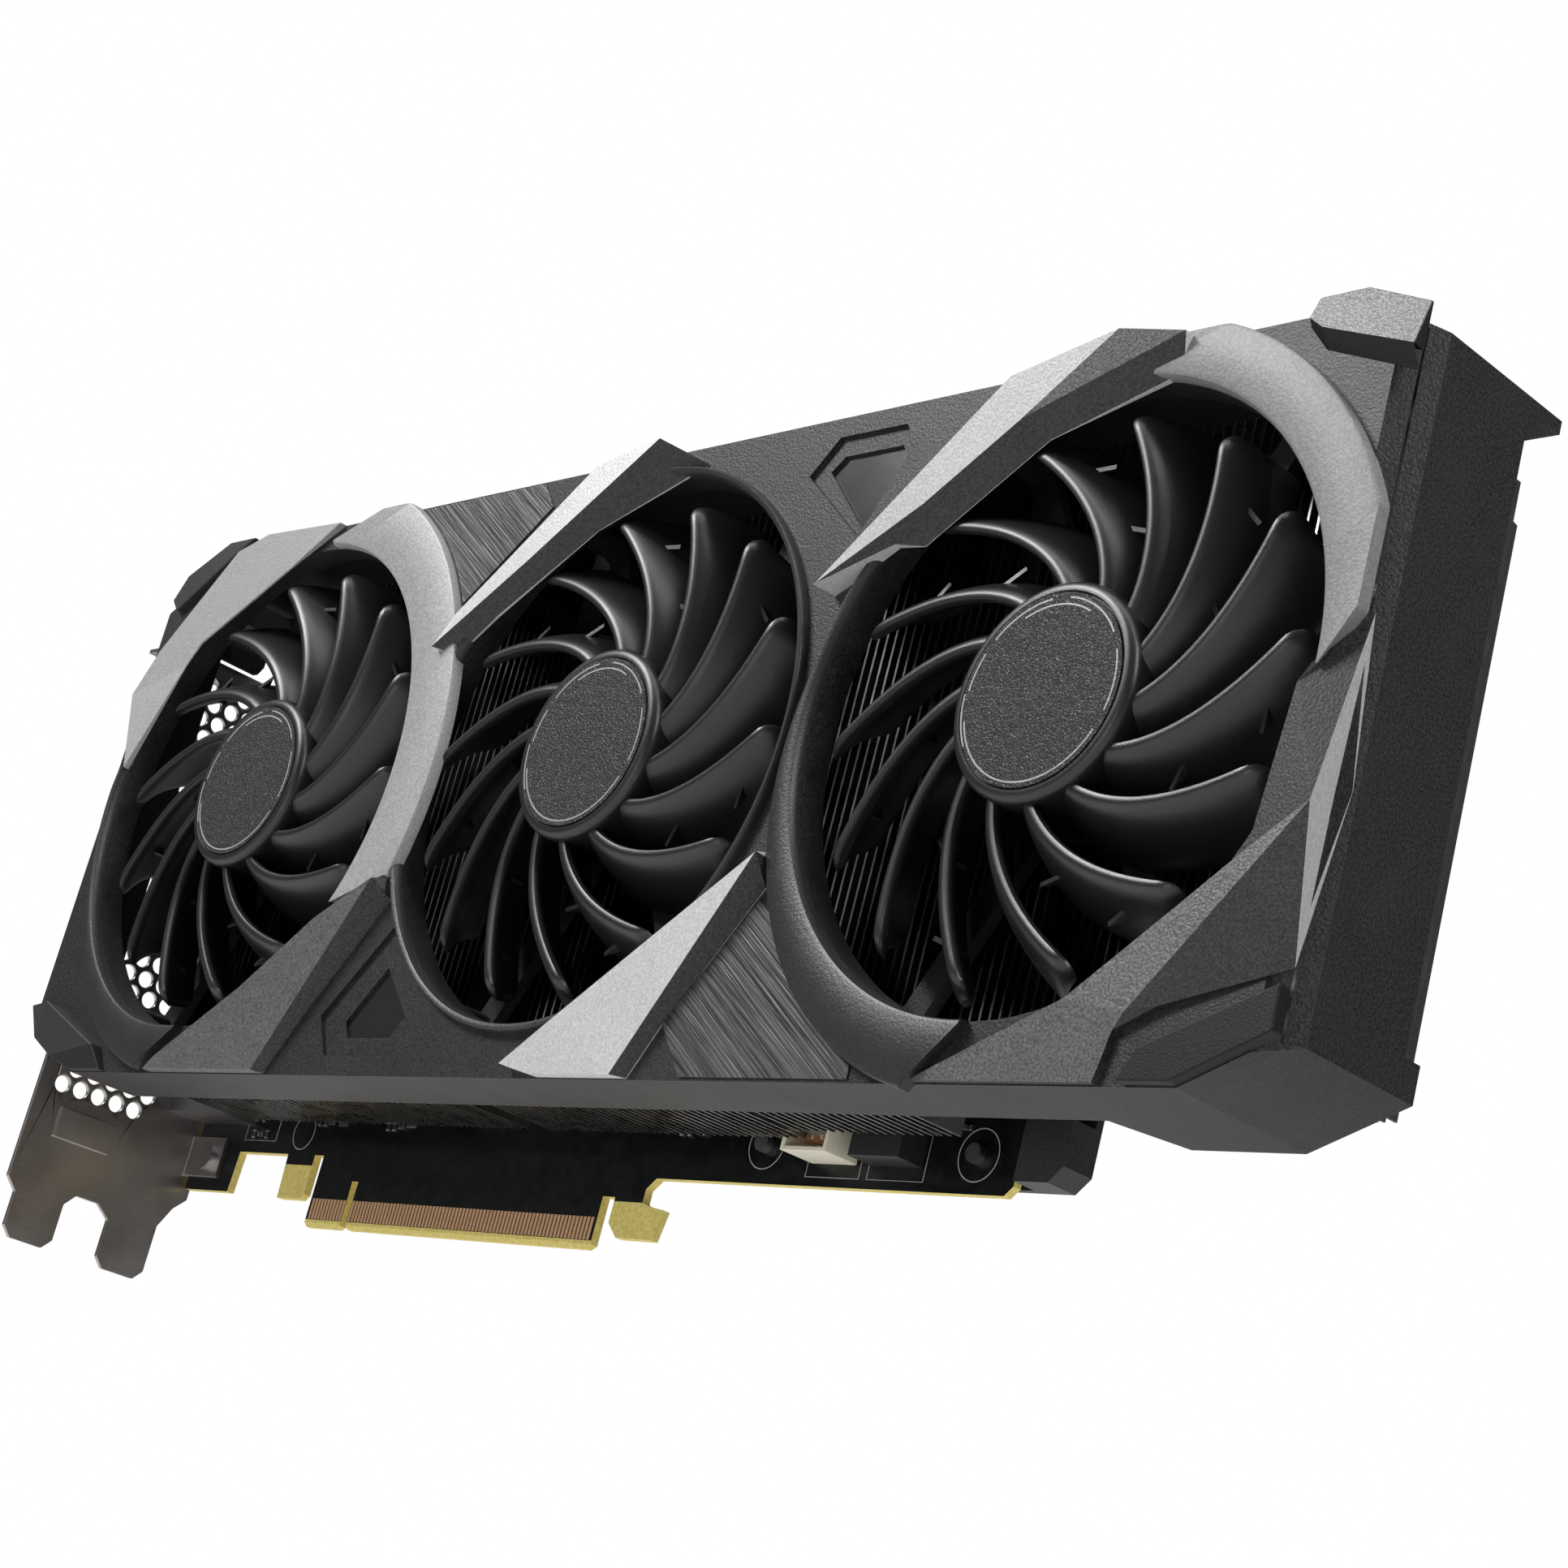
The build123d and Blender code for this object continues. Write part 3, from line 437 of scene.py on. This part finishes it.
def rotor_mesh(fan):
    """Hub turned from one profile, the blades, and winglets on every second blade."""
    x0 = FAN_XS[fan]
    profile = list(HUB_BACK)
    for k in range(1, HUB_EDGE_STEPS + 1):
        a = math.radians(90 * k / HUB_EDGE_STEPS)
        profile.append((15.0 + HUB_EDGE_R * math.cos(a), -42.8 - HUB_EDGE_R * math.sin(a)))
    profile += HUB_FRONT
    verts = [polar(x0, r, y, 2 * math.pi * k / HUB_STEPS) for r, y in profile for k in range(HUB_STEPS)]
    faces = grid_faces(len(profile), HUB_STEPS)
    radii = [BLADE_ROOT_R + (TIP_R - BLADE_ROOT_R) * (1 - (1 - k / (SECTIONS - 1)) ** 1.25)
             for k in range(SECTIONS)]
    sections = [(r, blade_section(r)) for r in radii]
    columns = 2 * SECTION_STEPS
    for i in range(BLADES):
        turn = math.radians(PHASES[fan] + i * 360 / BLADES)
        offset = len(verts)
        for r, loop in sections:
            verts += [polar(x0, r, y, a + turn) for a, y in loop]
        faces += grid_faces(SECTIONS, columns, offset)
        faces.append(tuple(offset + j for j in range(columns)))
        faces.append(tuple(len(verts) - 1 - j for j in range(columns)))
        if i % 2 == 0:
            for r, span in WINGLETS:
                add_winglet(verts, faces, x0, turn, r, span)
    return verts, faces


def add_winglet(verts, faces, x0, turn, r, span):
    """Thin pointed plate standing on a blade's back, along the direction of turning."""
    start = math.radians(lead_angle(r) + twist(r) * 0.35)
    offset = len(verts)
    for radius in (r - WINGLET_HALF, r + WINGLET_HALF):
        for a, y in ((start, -39.6), (start, -36.6), (start - math.radians(span), -38.8)):
            verts.append(polar(x0, radius, y, a + turn))
    faces += [(offset, offset + 1, offset + 2), (offset + 3, offset + 5, offset + 4)]
    for j in range(3):
        k = (j + 1) % 3
        faces.append((offset + j, offset + 3 + j, offset + 3 + k, offset + k))


# radius, first and last angle of each arc
HUB_ARCS = ((13.6, 96, 142), (13.6, 152, 176), (13.6, 196, 330), (13.6, 342, 20), (13.6, 32, 82),
            (12.6, 60, 118), (14.2, 178, 212))
ARC_STEPS = 40
ARC_HALF = 0.13
ARC_BACK = -44.4
ARC_FRONT = -44.44


def hub_lines(fan):
    """Thin light arcs on the hub disc's face."""
    verts, faces = [], []
    for radius, first, last in HUB_ARCS:
        sweep = (last - first) % 360
        offset = len(verts)
        for k in range(ARC_STEPS + 1):
            a = math.radians(first + sweep * k / ARC_STEPS)
            for r, y in ((radius - ARC_HALF, ARC_BACK), (radius - ARC_HALF, ARC_FRONT),
                         (radius + ARC_HALF, ARC_FRONT), (radius + ARC_HALF, ARC_BACK)):
                verts.append(polar(FAN_XS[fan], r, y, a))
        faces += grid_faces(ARC_STEPS + 1, 4, offset)
        faces += [(offset, offset + 1, offset + 2, offset + 3), tuple(len(verts) - 1 - j for j in range(4))]
    return verts, faces


for fan in FAN_XS:
    body = f"{fan}_fan"
    piece(f"rotor_{fan}", *rotor_mesh(fan), "rotor", body, "rotor_black", [f"fan_rotor_{fan}"], degrees=40.0)
    piece(f"hub_lines_{fan}", *hub_lines(fan), "line", body, "trim_grey")


# ---------------------------------------------------------------- shroud trim
ROOT = -42.6            # back of a trim piece, just inside the shell's face
OVERHANG = -43.5        # back of a trim piece where it hangs over the blades
APERTURE_R = 46.9
TRIM_RIGHT = 214.8      # limits that keep the crescents inside the solid model's box
TRIM_TOP = 123.4
RING_ROOT = -42.5
RING_STEPS = 140


def root_depth(x, z):
    """Back of a trim piece: just inside the shell's face, or clear of the blades over a fan opening."""
    nearest = min(math.hypot(x - fx, z - FAN_Z) for fx in FAN_XS.values())
    return OVERHANG if nearest < APERTURE_R - 0.2 else ROOT


def faceted(name, points, facets, replaced=(), bevel=0.28):
    """Flat facets over (x, y, z) points, closed by side walls and a back.

    facets: (material key, point indices); the first key also takes the walls and the back.
    """
    keys = list(dict.fromkeys(key for key, _ in facets))
    verts = list(points)
    faces = [loop for _, loop in facets]
    marks = [keys.index(key) for key, _ in facets]
    edges = [(a, b) for loop in faces for a, b in zip(loop, loop[1:] + loop[:1])]
    rim = {a: b for a, b in edges if (b, a) not in edges}
    back = {}
    for a in rim:
        back[a] = len(verts)
        x, y, z = points[a]
        verts.append((x, max(y + 0.1, root_depth(x, z)), z))
    faces += [(b, a, back[a], back[b]) for a, b in rim.items()]
    loop = [next(iter(rim))]
    while rim[loop[-1]] != loop[0]:
        loop.append(rim[loop[-1]])
    faces.append(tuple(back[a] for a in reversed(loop)))
    marks += [0] * (len(faces) - len(marks))
    obj = mesh_object(name, verts, faces, keys, marks)
    face_outwards(obj.data)
    smooth_by_angle(obj, 3.0)
    add_bevel(obj, bevel, degrees=6.0)
    attach(obj, "card", replaced)


# Within each piece, the facets take lighter or darker copies of one paint according to how light falls on
# them: painted light and shade.
faceted("band_left", (
    (-86.9, -45.4, 92.4), (-82.0, -45.2, 101.2), (-64.6, -44.8, 120.8), (-55.8, -44.4, 123.6),
    (-31.4, -44.2, 122.9), (-44.0, -44.0, 115.5), (-69.1, -44.0, 102.2), (-72.5, -43.8, 97.8),
    (-82.1, -44.8, 76.8)),
    (("trim_lit", (0, 1, 2, 3, 4, 5, 6, 7)), ("trim_lit", (0, 7, 8))),
    ["trim_band_left"])
faceted("bar_left", (
    (18.4, -46.8, 49.2), (4.7, -46.8, 42.4), (-12.2, -46.8, 30.2), (-34.8, -45.8, 18.2),
    (-39.6, -44.8, 15.9), (-4.1, -44.8, 15.9), (19.8, -42.9, 50.4), (20.3, -42.9, 46.4),
    (4.2, -42.9, 26.2), (-2.9, -42.9, 15.9)),
    (("trim_half_shaded", (0, 1, 2, 5)), ("trim_half_shaded", (2, 3, 4, 5)), ("trim_shaded", (0, 5, 9, 8, 7)),
     ("trim_shaded", (0, 7, 6))),
    ["trim_bar_left"])
faceted("bar_middle_lower", (
    (115.1, -46.6, 49.2), (96.4, -46.3, 36.9), (77.5, -46.3, 24.0), (66.1, -45.3, 17.3),
    (73.4, -44.8, 15.9), (92.9, -44.8, 15.9), (115.0, -42.9, 50.4), (115.0, -42.9, 44.9),
    (99.8, -42.9, 24.2), (94.8, -42.9, 15.9)),
    (("bar_brightest_lit", (0, 1, 2, 5)), ("bar_brightest_lit", (2, 3, 4, 5)), ("trim_shaded", (0, 5, 9, 8, 7)),
     ("trim_shaded", (0, 7, 6))),
    ["trim_bar_middle_lower"])
faceted("bar_middle_upper", (
    (14.8, -46.3, 91.9), (19.3, -46.3, 97.6), (48.1, -46.3, 121.4), (63.8, -46.6, 124.0),
    (35.5, -46.6, 104.7), (28.2, -44.0, 97.0), (18.3, -43.0, 91.4), (50.0, -43.6, 110.5),
    (74.2, -43.0, 119.4)),
    (("bar_brightest_lit", (0, 1, 2, 3, 4)), ("trim_shaded", (0, 4, 5, 6)), ("trim_shaded", (4, 3, 8, 7, 5))),
    ["trim_bar_middle_upper"])
faceted("bar_right_upper", (
    (113.2, -47.3, 91.5), (144.7, -47.3, 120.7), (164.6, -47.5, 124.6), (176.5, -46.5, 122.6),
    (147.8, -46.0, 114.1), (131.0, -46.0, 102.6), (126.1, -44.8, 97.5), (131.5, -43.6, 97.0),
    (152.0, -43.6, 111.0), (175.0, -43.6, 117.8)),
    (("bar_brightest_lit", (0, 1, 2, 4, 5)), ("trim_half_shaded", (2, 3, 4)), ("trim_shaded", (0, 5, 6)),
     ("trim_shaded", (5, 4, 8, 7, 6)), ("trim_shaded", (4, 3, 9, 8))),
    ["trim_bar_right_upper"])
faceted("facets_tail", (
    (207.7, -44.8, 68.0), (205.4, -44.8, 46.0), (194.4, -44.8, 37.5), (180.4, -44.8, 26.8),
    (154.3, -43.8, 15.9), (187.4, -43.8, 15.9), (188.9, -43.8, 22.8), (195.5, -43.8, 25.9),
    (215.2, -42.9, 30.8), (214.6, -45.8, 51.5), (215.2, -41.6, 77.9), (209.4, -44.8, 70.5),
    (190.6, -44.3, 25.0), (215.3, -39.2, 55.0)),
    (("trim_shaded", (0, 9, 10, 11)), ("trim_shaded", (0, 1, 9)), ("trim_half_shaded", (1, 2, 3, 12, 9)),
     ("trim_shaded", (9, 12, 7, 8)), ("trim_half_shaded", (3, 4, 5, 6, 12)), ("trim_shaded", (6, 7, 12)),
     ("trim_lit", (9, 13, 10)), ("trim_lit", (9, 8, 13))),
    ["trim_facets_tail"], 0.22)
faceted("guard_tail_top", (
    (195.7, -42.9, 121.0), (196.6, -43.4, 125.2), (204.6, -43.4, 125.2), (215.2, -43.0, 121.3),
    (215.2, -44.8, 114.2), (199.2, -44.8, 119.6), (198.9, -42.9, 117.4), (215.2, -42.9, 111.4),
    (196.2, -44.3, 121.8)),
    (("guard_shaded", (5, 4, 7, 6)), ("trim_half_shaded", (8, 5, 4, 3, 2, 1)), ("guard_shaded", (8, 0, 6, 5)),
     ("guard_shaded", (8, 1, 0))))
faceted("guard_tail_foot", (
    (191.9, -44.8, 15.9), (194.5, -44.8, 20.3), (215.0, -44.8, 28.4), (215.2, -44.8, 22.4),
    (200.6, -44.8, 15.9)),
    (("guard_shaded", (0, 1, 2, 3, 4)),))
faceted("guard_bracket_foot", (
    (-87.2, -44.6, 28.3), (-80.6, -45.3, 28.8), (-59.6, -45.3, 20.5), (-55.8, -44.2, 15.9),
    (-67.6, -43.6, 15.9), (-76.1, -44.0, 18.5), (-84.9, -43.4, 22.2)),
    (("guard", (0, 1, 6)), ("guard", (1, 2, 5, 6)), ("guard_shaded", (2, 3, 4, 5))))
faceted("guard_bracket_top", (
    (-87.2, -43.2, 113.6), (-83.5, -43.6, 118.4), (-70.4, -43.8, 124.0), (-61.8, -43.8, 124.0),
    (-65.4, -44.2, 121.4), (-82.8, -44.2, 110.6)),
    (("guard", (0, 1, 2, 5)), ("guard", (2, 3, 4, 5))),
    ["corner_guards"])


def ring_part(name, x, outer, spans, key, slot, replaced, front=-44.8):
    """Trim round a fan opening: rounded inner lip, flat face, rounded outer edge.

    outer: (centre x, centre z, radius); spans: (first, last) angles at the inner and at the outer edge.
    """
    cx, cz, outer_r = outer
    (inner_a, inner_b), (outer_a, outer_b) = spans
    inner_edge = ((0.0, RING_ROOT), (0.0, front + 1.5), (0.12, front + 0.75), (0.42, front + 0.22),
                  (0.95, front))
    outer_edge = ((-0.5, front), (-0.15, front + 0.15), (0.0, front + 0.5), (0.0, RING_ROOT))
    columns = len(inner_edge) + len(outer_edge)
    dx, dz = x - cx, FAN_Z - cz
    verts = []
    for i in range(RING_STEPS + 1):
        u = i / RING_STEPS
        a = math.radians(inner_a + (inner_b - inner_a) * u)
        verts += [polar(x, APERTURE_R + step, y, a) for step, y in inner_edge]
        a = math.radians(outer_a + (outer_b - outer_a) * u)
        ux, uz = math.cos(a), math.sin(a)
        along = dx * ux + dz * uz
        reach = -along + math.sqrt(max(0.0, along * along - dx * dx - dz * dz + outer_r * outer_r))
        for step, y in outer_edge:
            r = min(reach + step, (TRIM_RIGHT - x) / max(ux, 0.01), (TRIM_TOP - FAN_Z) / max(uz, 0.01))
            verts.append(polar(x, max(r, APERTURE_R + 1.2), y, a))
    faces = grid_faces(RING_STEPS + 1, columns)
    if abs(inner_b - inner_a) < 359.0:
        faces.append(tuple(range(columns)))
        faces.append(tuple(reversed(range(RING_STEPS * columns, (RING_STEPS + 1) * columns))))
    piece(name, verts, faces, key, "card", slot, replaced, degrees=32.0)


LEFT, MIDDLE, RIGHT = FAN_XS["left"], FAN_XS["middle"], FAN_XS["right"]
ring_part("ring_left", LEFT, (LEFT + 3.6, 65.1, 50.2), ((172.0, 273.0), (178.0, 262.5)), "ring", "trim_black",
          ["trim_ring_left"])
ring_part("ring_right", RIGHT, (RIGHT + 1.6, 65.0, 51.4), ((147.0, 270.0), (153.0, 261.5)), "ring",
          "trim_black", ["trim_ring_right"])
# Both crescents are the same grey trim; the right one takes a darker copy: painted shade.
ring_part("crescent_left", LEFT, (LEFT, FAN_Z, 59.0), ((84.0, -32.0), (70.0, -21.0)), "crescent", "trim_grey",
          ["trim_crescent_left"])
ring_part("crescent_right", RIGHT, (RIGHT + 0.5, FAN_Z, 55.8), ((93.0, -1.0), (78.0, 7.0)), "crescent_right",
          "trim_grey", ["trim_crescent_right"])
ring_part("ring_middle", MIDDLE, (MIDDLE, FAN_Z, 48.4), ((0.0, 360.0), (0.0, 360.0)), "ring", "trim_black",
          ["trim_ring_middle"], -44.4)

# softened edges on solid-model nodes: bevel widths
EDGE_WIDTHS = {"slot_bracket": 0.15, "fan_header": 0.25, "lighting_header": 0.2, "brushed_inserts": 0.08,
               "shroud_shell": 0.35}
WELD_DISTANCE = 0.004
for node_name, width in EDGE_WIDTHS.items():
    node = NODES[node_name]
    weld = node.modifiers.new("weld", "WELD")
    weld.merge_threshold = WELD_DISTANCE * MM
    edge = node.modifiers.new("edge", "BEVEL")
    edge.width = width * MM
    edge.segments = 2
    edge.limit_method = "ANGLE"
    edge.angle_limit = math.radians(40)
    even = node.modifiers.new("even", "WEIGHTED_NORMAL")
    even.mode = "FACE_AREA"
    even.weight = 100
    even.keep_sharp = True


# ---------------------------------------------------------------- small parts on the board
BOARD_FRONT = -0.785
CHIP_SIZE = (1.6, 0.8, 0.5)     # length, width, height
PACKAGE_SIZE = (2.9, 1.5)       # length, width
LEGS = 3
# (x, z) of the two-ended parts and of the leaded packages
CHIPS = ((-68.0, 17.2), (-65.8, 17.2), (-63.6, 17.2), (-66.0, 20.4), (-61.0, 20.8), (-46.5, 20.0),
         (-44.6, 20.0), (-42.7, 20.0), (-35.0, 21.5), (-33.2, 21.5), (-31.4, 21.5), (-24.0, 19.6),
         (-22.0, 19.6), (-20.0, 19.6), (59.0, 20.6), (61.0, 20.6), (72.5, 22.0), (74.4, 22.0),
         (103.8, 23.8), (105.8, 23.8), (119.8, 22.6), (121.8, 22.6), (123.8, 22.6))
PACKAGES = ((-69.5, 21.2), (-38.8, 20.8), (-17.0, 21.0), (64.6, 21.4), (88.4, 22.4), (116.6, 22.6))
# printed outlines: corners of the boxes, and (x, z, radius) of the circles
PRINTED_BOXES = (((90.6, 14.0), (102.6, 14.0), (102.6, 23.6), (90.6, 23.6)),
                 ((104.4, 14.0), (116.6, 14.0), (116.6, 21.4), (104.4, 21.4)),
                 ((-71.2, 16.0), (-60.4, 16.0), (-60.4, 22.4), (-71.2, 22.4)))
PRINTED_CIRCLES = ((80.0, 19.0, 4.1), (127.0, 18.5, 4.1), (-51.5, 18.0, 3.4))
CIRCLE_STEPS = 48
PRINT_HALF = 0.08
PRINT_FRONT = BOARD_FRONT - 0.02
# wall inside the shroud, over the bracket's top: the X of its faces and its (y, z) outline
END_WALL_XS = (-87.3, -85.6)
END_WALL = ((-30.2, 107.0), (-21.0, 107.0), (-20.0, 109.0), (-20.0, 116.0), (-30.2, 119.4))


def add_block(verts, faces, marks, low, high, mark):
    """Closed box between two corners, its front edges narrowed a little."""
    (x0, y0, z0), (x1, y1, z1) = low, high
    trim = 0.12 * min(x1 - x0, z1 - z0)
    offset = len(verts)
    for y, t in ((y1, 0.0), (y0 + trim, 0.0), (y0, trim)):
        verts.extend([(x0 + t, y, z0 + t), (x1 - t, y, z0 + t), (x1 - t, y, z1 - t), (x0 + t, y, z1 - t)])
    loops = grid_faces(3, 4, offset)
    loops += [(offset, offset + 3, offset + 2, offset + 1), tuple(offset + 8 + j for j in range(4))]
    faces.extend(loops)
    marks.extend([mark] * len(loops))


def chip_part(verts, faces, marks, x, z, upright):
    """Two-ended surface part: a dark body between two tinned caps."""
    length, width, height = CHIP_SIZE
    half_l, half_w = length / 2, width / 2
    for start, end, grow, mark in ((-half_l, -half_l * 0.6, 0.02, 1), (-half_l * 0.6, half_l * 0.6, 0.0, 0),
                                   (half_l * 0.6, half_l, 0.02, 1)):
        top = BOARD_FRONT - height - grow
        if upright:
            low, high = (x - half_w - grow, top, z + start), (x + half_w + grow, BOARD_FRONT, z + end)
        else:
            low, high = (x + start, top, z - half_w - grow), (x + end, BOARD_FRONT, z + half_w + grow)
        add_block(verts, faces, marks, low, high, mark)


def leaded_part(verts, faces, marks, x, z):
    """Small moulded package with a row of legs on both long sides."""
    length, width = PACKAGE_SIZE
    add_block(verts, faces, marks, (x - length / 2, BOARD_FRONT - 1.1, z - width / 2),
              (x + length / 2, BOARD_FRONT - 0.1, z + width / 2), 0)
    for i in range(LEGS):
        leg_x = x - length / 2 + length * (i + 0.5) / LEGS
        for side in (-1, 1):
            z_in, z_out = z + side * width / 2, z + side * (width / 2 + 0.7)
            add_block(verts, faces, marks, (leg_x - 0.18, BOARD_FRONT - 0.5, min(z_in, z_out)),
                      (leg_x + 0.18, BOARD_FRONT, max(z_in, z_out)), 1)


def small_parts():
    verts, faces, marks = [], [], []
    for i, (x, z) in enumerate(CHIPS):
        chip_part(verts, faces, marks, x, z, i % 3 != 1)
    for x, z in PACKAGES:
        leaded_part(verts, faces, marks, x, z)
    obj = mesh_object("small_parts", verts, faces, ("chip", "tin"), marks)
    add_bevel(obj, 0.04, 2, 30.0)
    attach(obj, "card")


def printed_lines():
    """Plain outlines printed round the headers and screws."""
    verts, faces = [], []
    paths = list(PRINTED_BOXES)
    turns = [2 * math.pi * k / CIRCLE_STEPS for k in range(CIRCLE_STEPS)]
    paths += [[(x + r * math.cos(a), z + r * math.sin(a)) for a in turns] for x, z, r in PRINTED_CIRCLES]
    for path in paths:
        offset, count = len(verts), len(path)
        cx = sum(x for x, _ in path) / count
        cz = sum(z for _, z in path) / count
        for x, z in path:
            out = math.hypot(x - cx, z - cz)
            for grow, y in ((-PRINT_HALF, BOARD_FRONT), (-PRINT_HALF, PRINT_FRONT),
                            (PRINT_HALF, PRINT_FRONT), (PRINT_HALF, BOARD_FRONT)):
                verts.append((x + (x - cx) / out * grow, y, z + (z - cz) / out * grow))
        for i in range(count):
            row, following = offset + i * 4, offset + (i + 1) % count * 4
            for j in range(4):
                k = (j + 1) % 4
                faces.append((row + j, row + k, following + k, following + j))
    piece("printed_lines", verts, faces, "print", "card", "connector_white")


def end_wall():
    count = len(END_WALL)
    verts = [(x, y, z) for x in END_WALL_XS for y, z in END_WALL]
    faces = [tuple(range(count)), tuple(reversed(range(count, 2 * count)))]
    faces += [(j, j + count, (j + 1) % count + count, (j + 1) % count) for j in range(count)]
    piece("shroud_end_wall", verts, faces, "shell", "card", "shroud_black", bevel=0.2)


small_parts()
printed_lines()
end_wall()


# ---------------------------------------------------------------- light, floor and camera
CARD_MIDDLE = (0.06, -0.04, 0.07)
CARD_TAIL = (0.2, -0.03, 0.12)
# name, place, target, size and power in watts
LIGHTS = (("key_top_left", (-0.55, -0.8, 0.85), CARD_MIDDLE, (0.5, 0.4), 15.0),
          ("fill_front", (0.35, -1.2, -0.1), CARD_MIDDLE, (0.4, 0.3), 2.4),
          ("rim_right", (1.0, -0.1, 0.75), CARD_TAIL, (0.3, 0.5), 9.0),
          ("strip_top", (0.15, -0.35, 0.9), CARD_MIDDLE, (1.0, 0.08), 3.0),
          ("under", (0.1, -0.3, -0.7), CARD_MIDDLE, (0.9, 0.25), 2.0))
WORLD_LIGHT = 0.1
WORLD_SEEN = 1.0
FLOOR_HALF = 4.0
FLOOR_Z = -0.13
GLOW_START = 0.3
GLOW_FULL = 1.4


def area_light(name, place, target, size, power):
    data = bpy.data.lights.new(name, "AREA")
    data.shape = "RECTANGLE"
    data.size, data.size_y = size
    data.energy = power
    obj = bpy.data.objects.new(name, data)
    obj.location = place
    obj.rotation_euler = (Vector(target) - Vector(place)).to_track_quat("-Z", "Y").to_euler()
    bpy.context.scene.collection.objects.link(obj)


def add_world():
    """White background, dim as a source of light."""
    world = bpy.data.worlds.new("studio")
    world.use_nodes = True
    nodes, links = world.node_tree.nodes, world.node_tree.links
    background = nodes["Background"]
    level = nodes.new("ShaderNodeMapRange")
    level.inputs["To Min"].default_value = WORLD_LIGHT
    level.inputs["To Max"].default_value = WORLD_SEEN
    links.new(nodes.new("ShaderNodeLightPath").outputs["Is Camera Ray"], level.inputs["Value"])
    background.inputs["Color"].default_value = (1, 1, 1, 1)
    links.new(level.outputs["Result"], background.inputs["Strength"])
    bpy.context.scene.world = world


def add_floor():
    """Pale floor that whitens away from the card until it meets the background."""
    pale = Shader("floor_pale", (0.86, 0.86, 0.86), 0.7)
    pale.colour(pale.ramp(pale.noise(3.0), (0.3, (0.84,) * 3), (0.7, (0.88,) * 3)))
    reach = pale.add("ShaderNodeVectorMath", operation="LENGTH")
    pale.join(pale.coords, reach.inputs[0])
    fade = pale.add("ShaderNodeMapRange")
    fade.inputs["From Min"].default_value = GLOW_START
    fade.inputs["From Max"].default_value = GLOW_FULL
    pale.join(reach.outputs["Value"], fade.inputs["Value"])
    seen = pale.add("ShaderNodeLightPath").outputs["Is Camera Ray"]
    pale.bsdf.inputs["Emission Color"].default_value = (1, 1, 1, 1)
    pale.join(pale.maths("MULTIPLY", fade.outputs["Result"], seen), pale.bsdf.inputs["Emission Strength"])
    mesh = bpy.data.meshes.new("floor")
    half = FLOOR_HALF
    mesh.from_pydata([(-half, -half, FLOOR_Z), (half, -half, FLOOR_Z), (half, half, FLOOR_Z),
                      (-half, half, FLOOR_Z)], [], [(0, 1, 2, 3)])
    mesh.materials.append(pale.material)
    floor = bpy.data.objects.new("floor", mesh)
    bpy.context.scene.collection.objects.link(floor)


CAMERA_PLACE = (0.45262, -0.31905, -0.07344)
CAMERA_RIGHT = (0.66808, 0.70349, 0.24241)
CAMERA_UP = (0.06078, -0.37628, 0.92451)
CAMERA_LENS = 71.93
SENSOR_WIDTH = 36.0


def add_camera():
    data = bpy.data.cameras.new("camera")
    data.lens = CAMERA_LENS
    data.sensor_width = SENSOR_WIDTH
    data.clip_start = 0.01
    camera = bpy.data.objects.new("camera", data)
    right, up = Vector(CAMERA_RIGHT), Vector(CAMERA_UP)
    back = right.cross(up)
    camera.matrix_world = Matrix.Translation(CAMERA_PLACE) @ Matrix((right, up, back)).transposed().to_4x4()
    bpy.context.scene.collection.objects.link(camera)
    bpy.context.scene.camera = camera


bpy.context.scene.view_settings.view_transform = "Standard"
add_world()
for light in LIGHTS:
    area_light(*light)
add_floor()
add_camera()
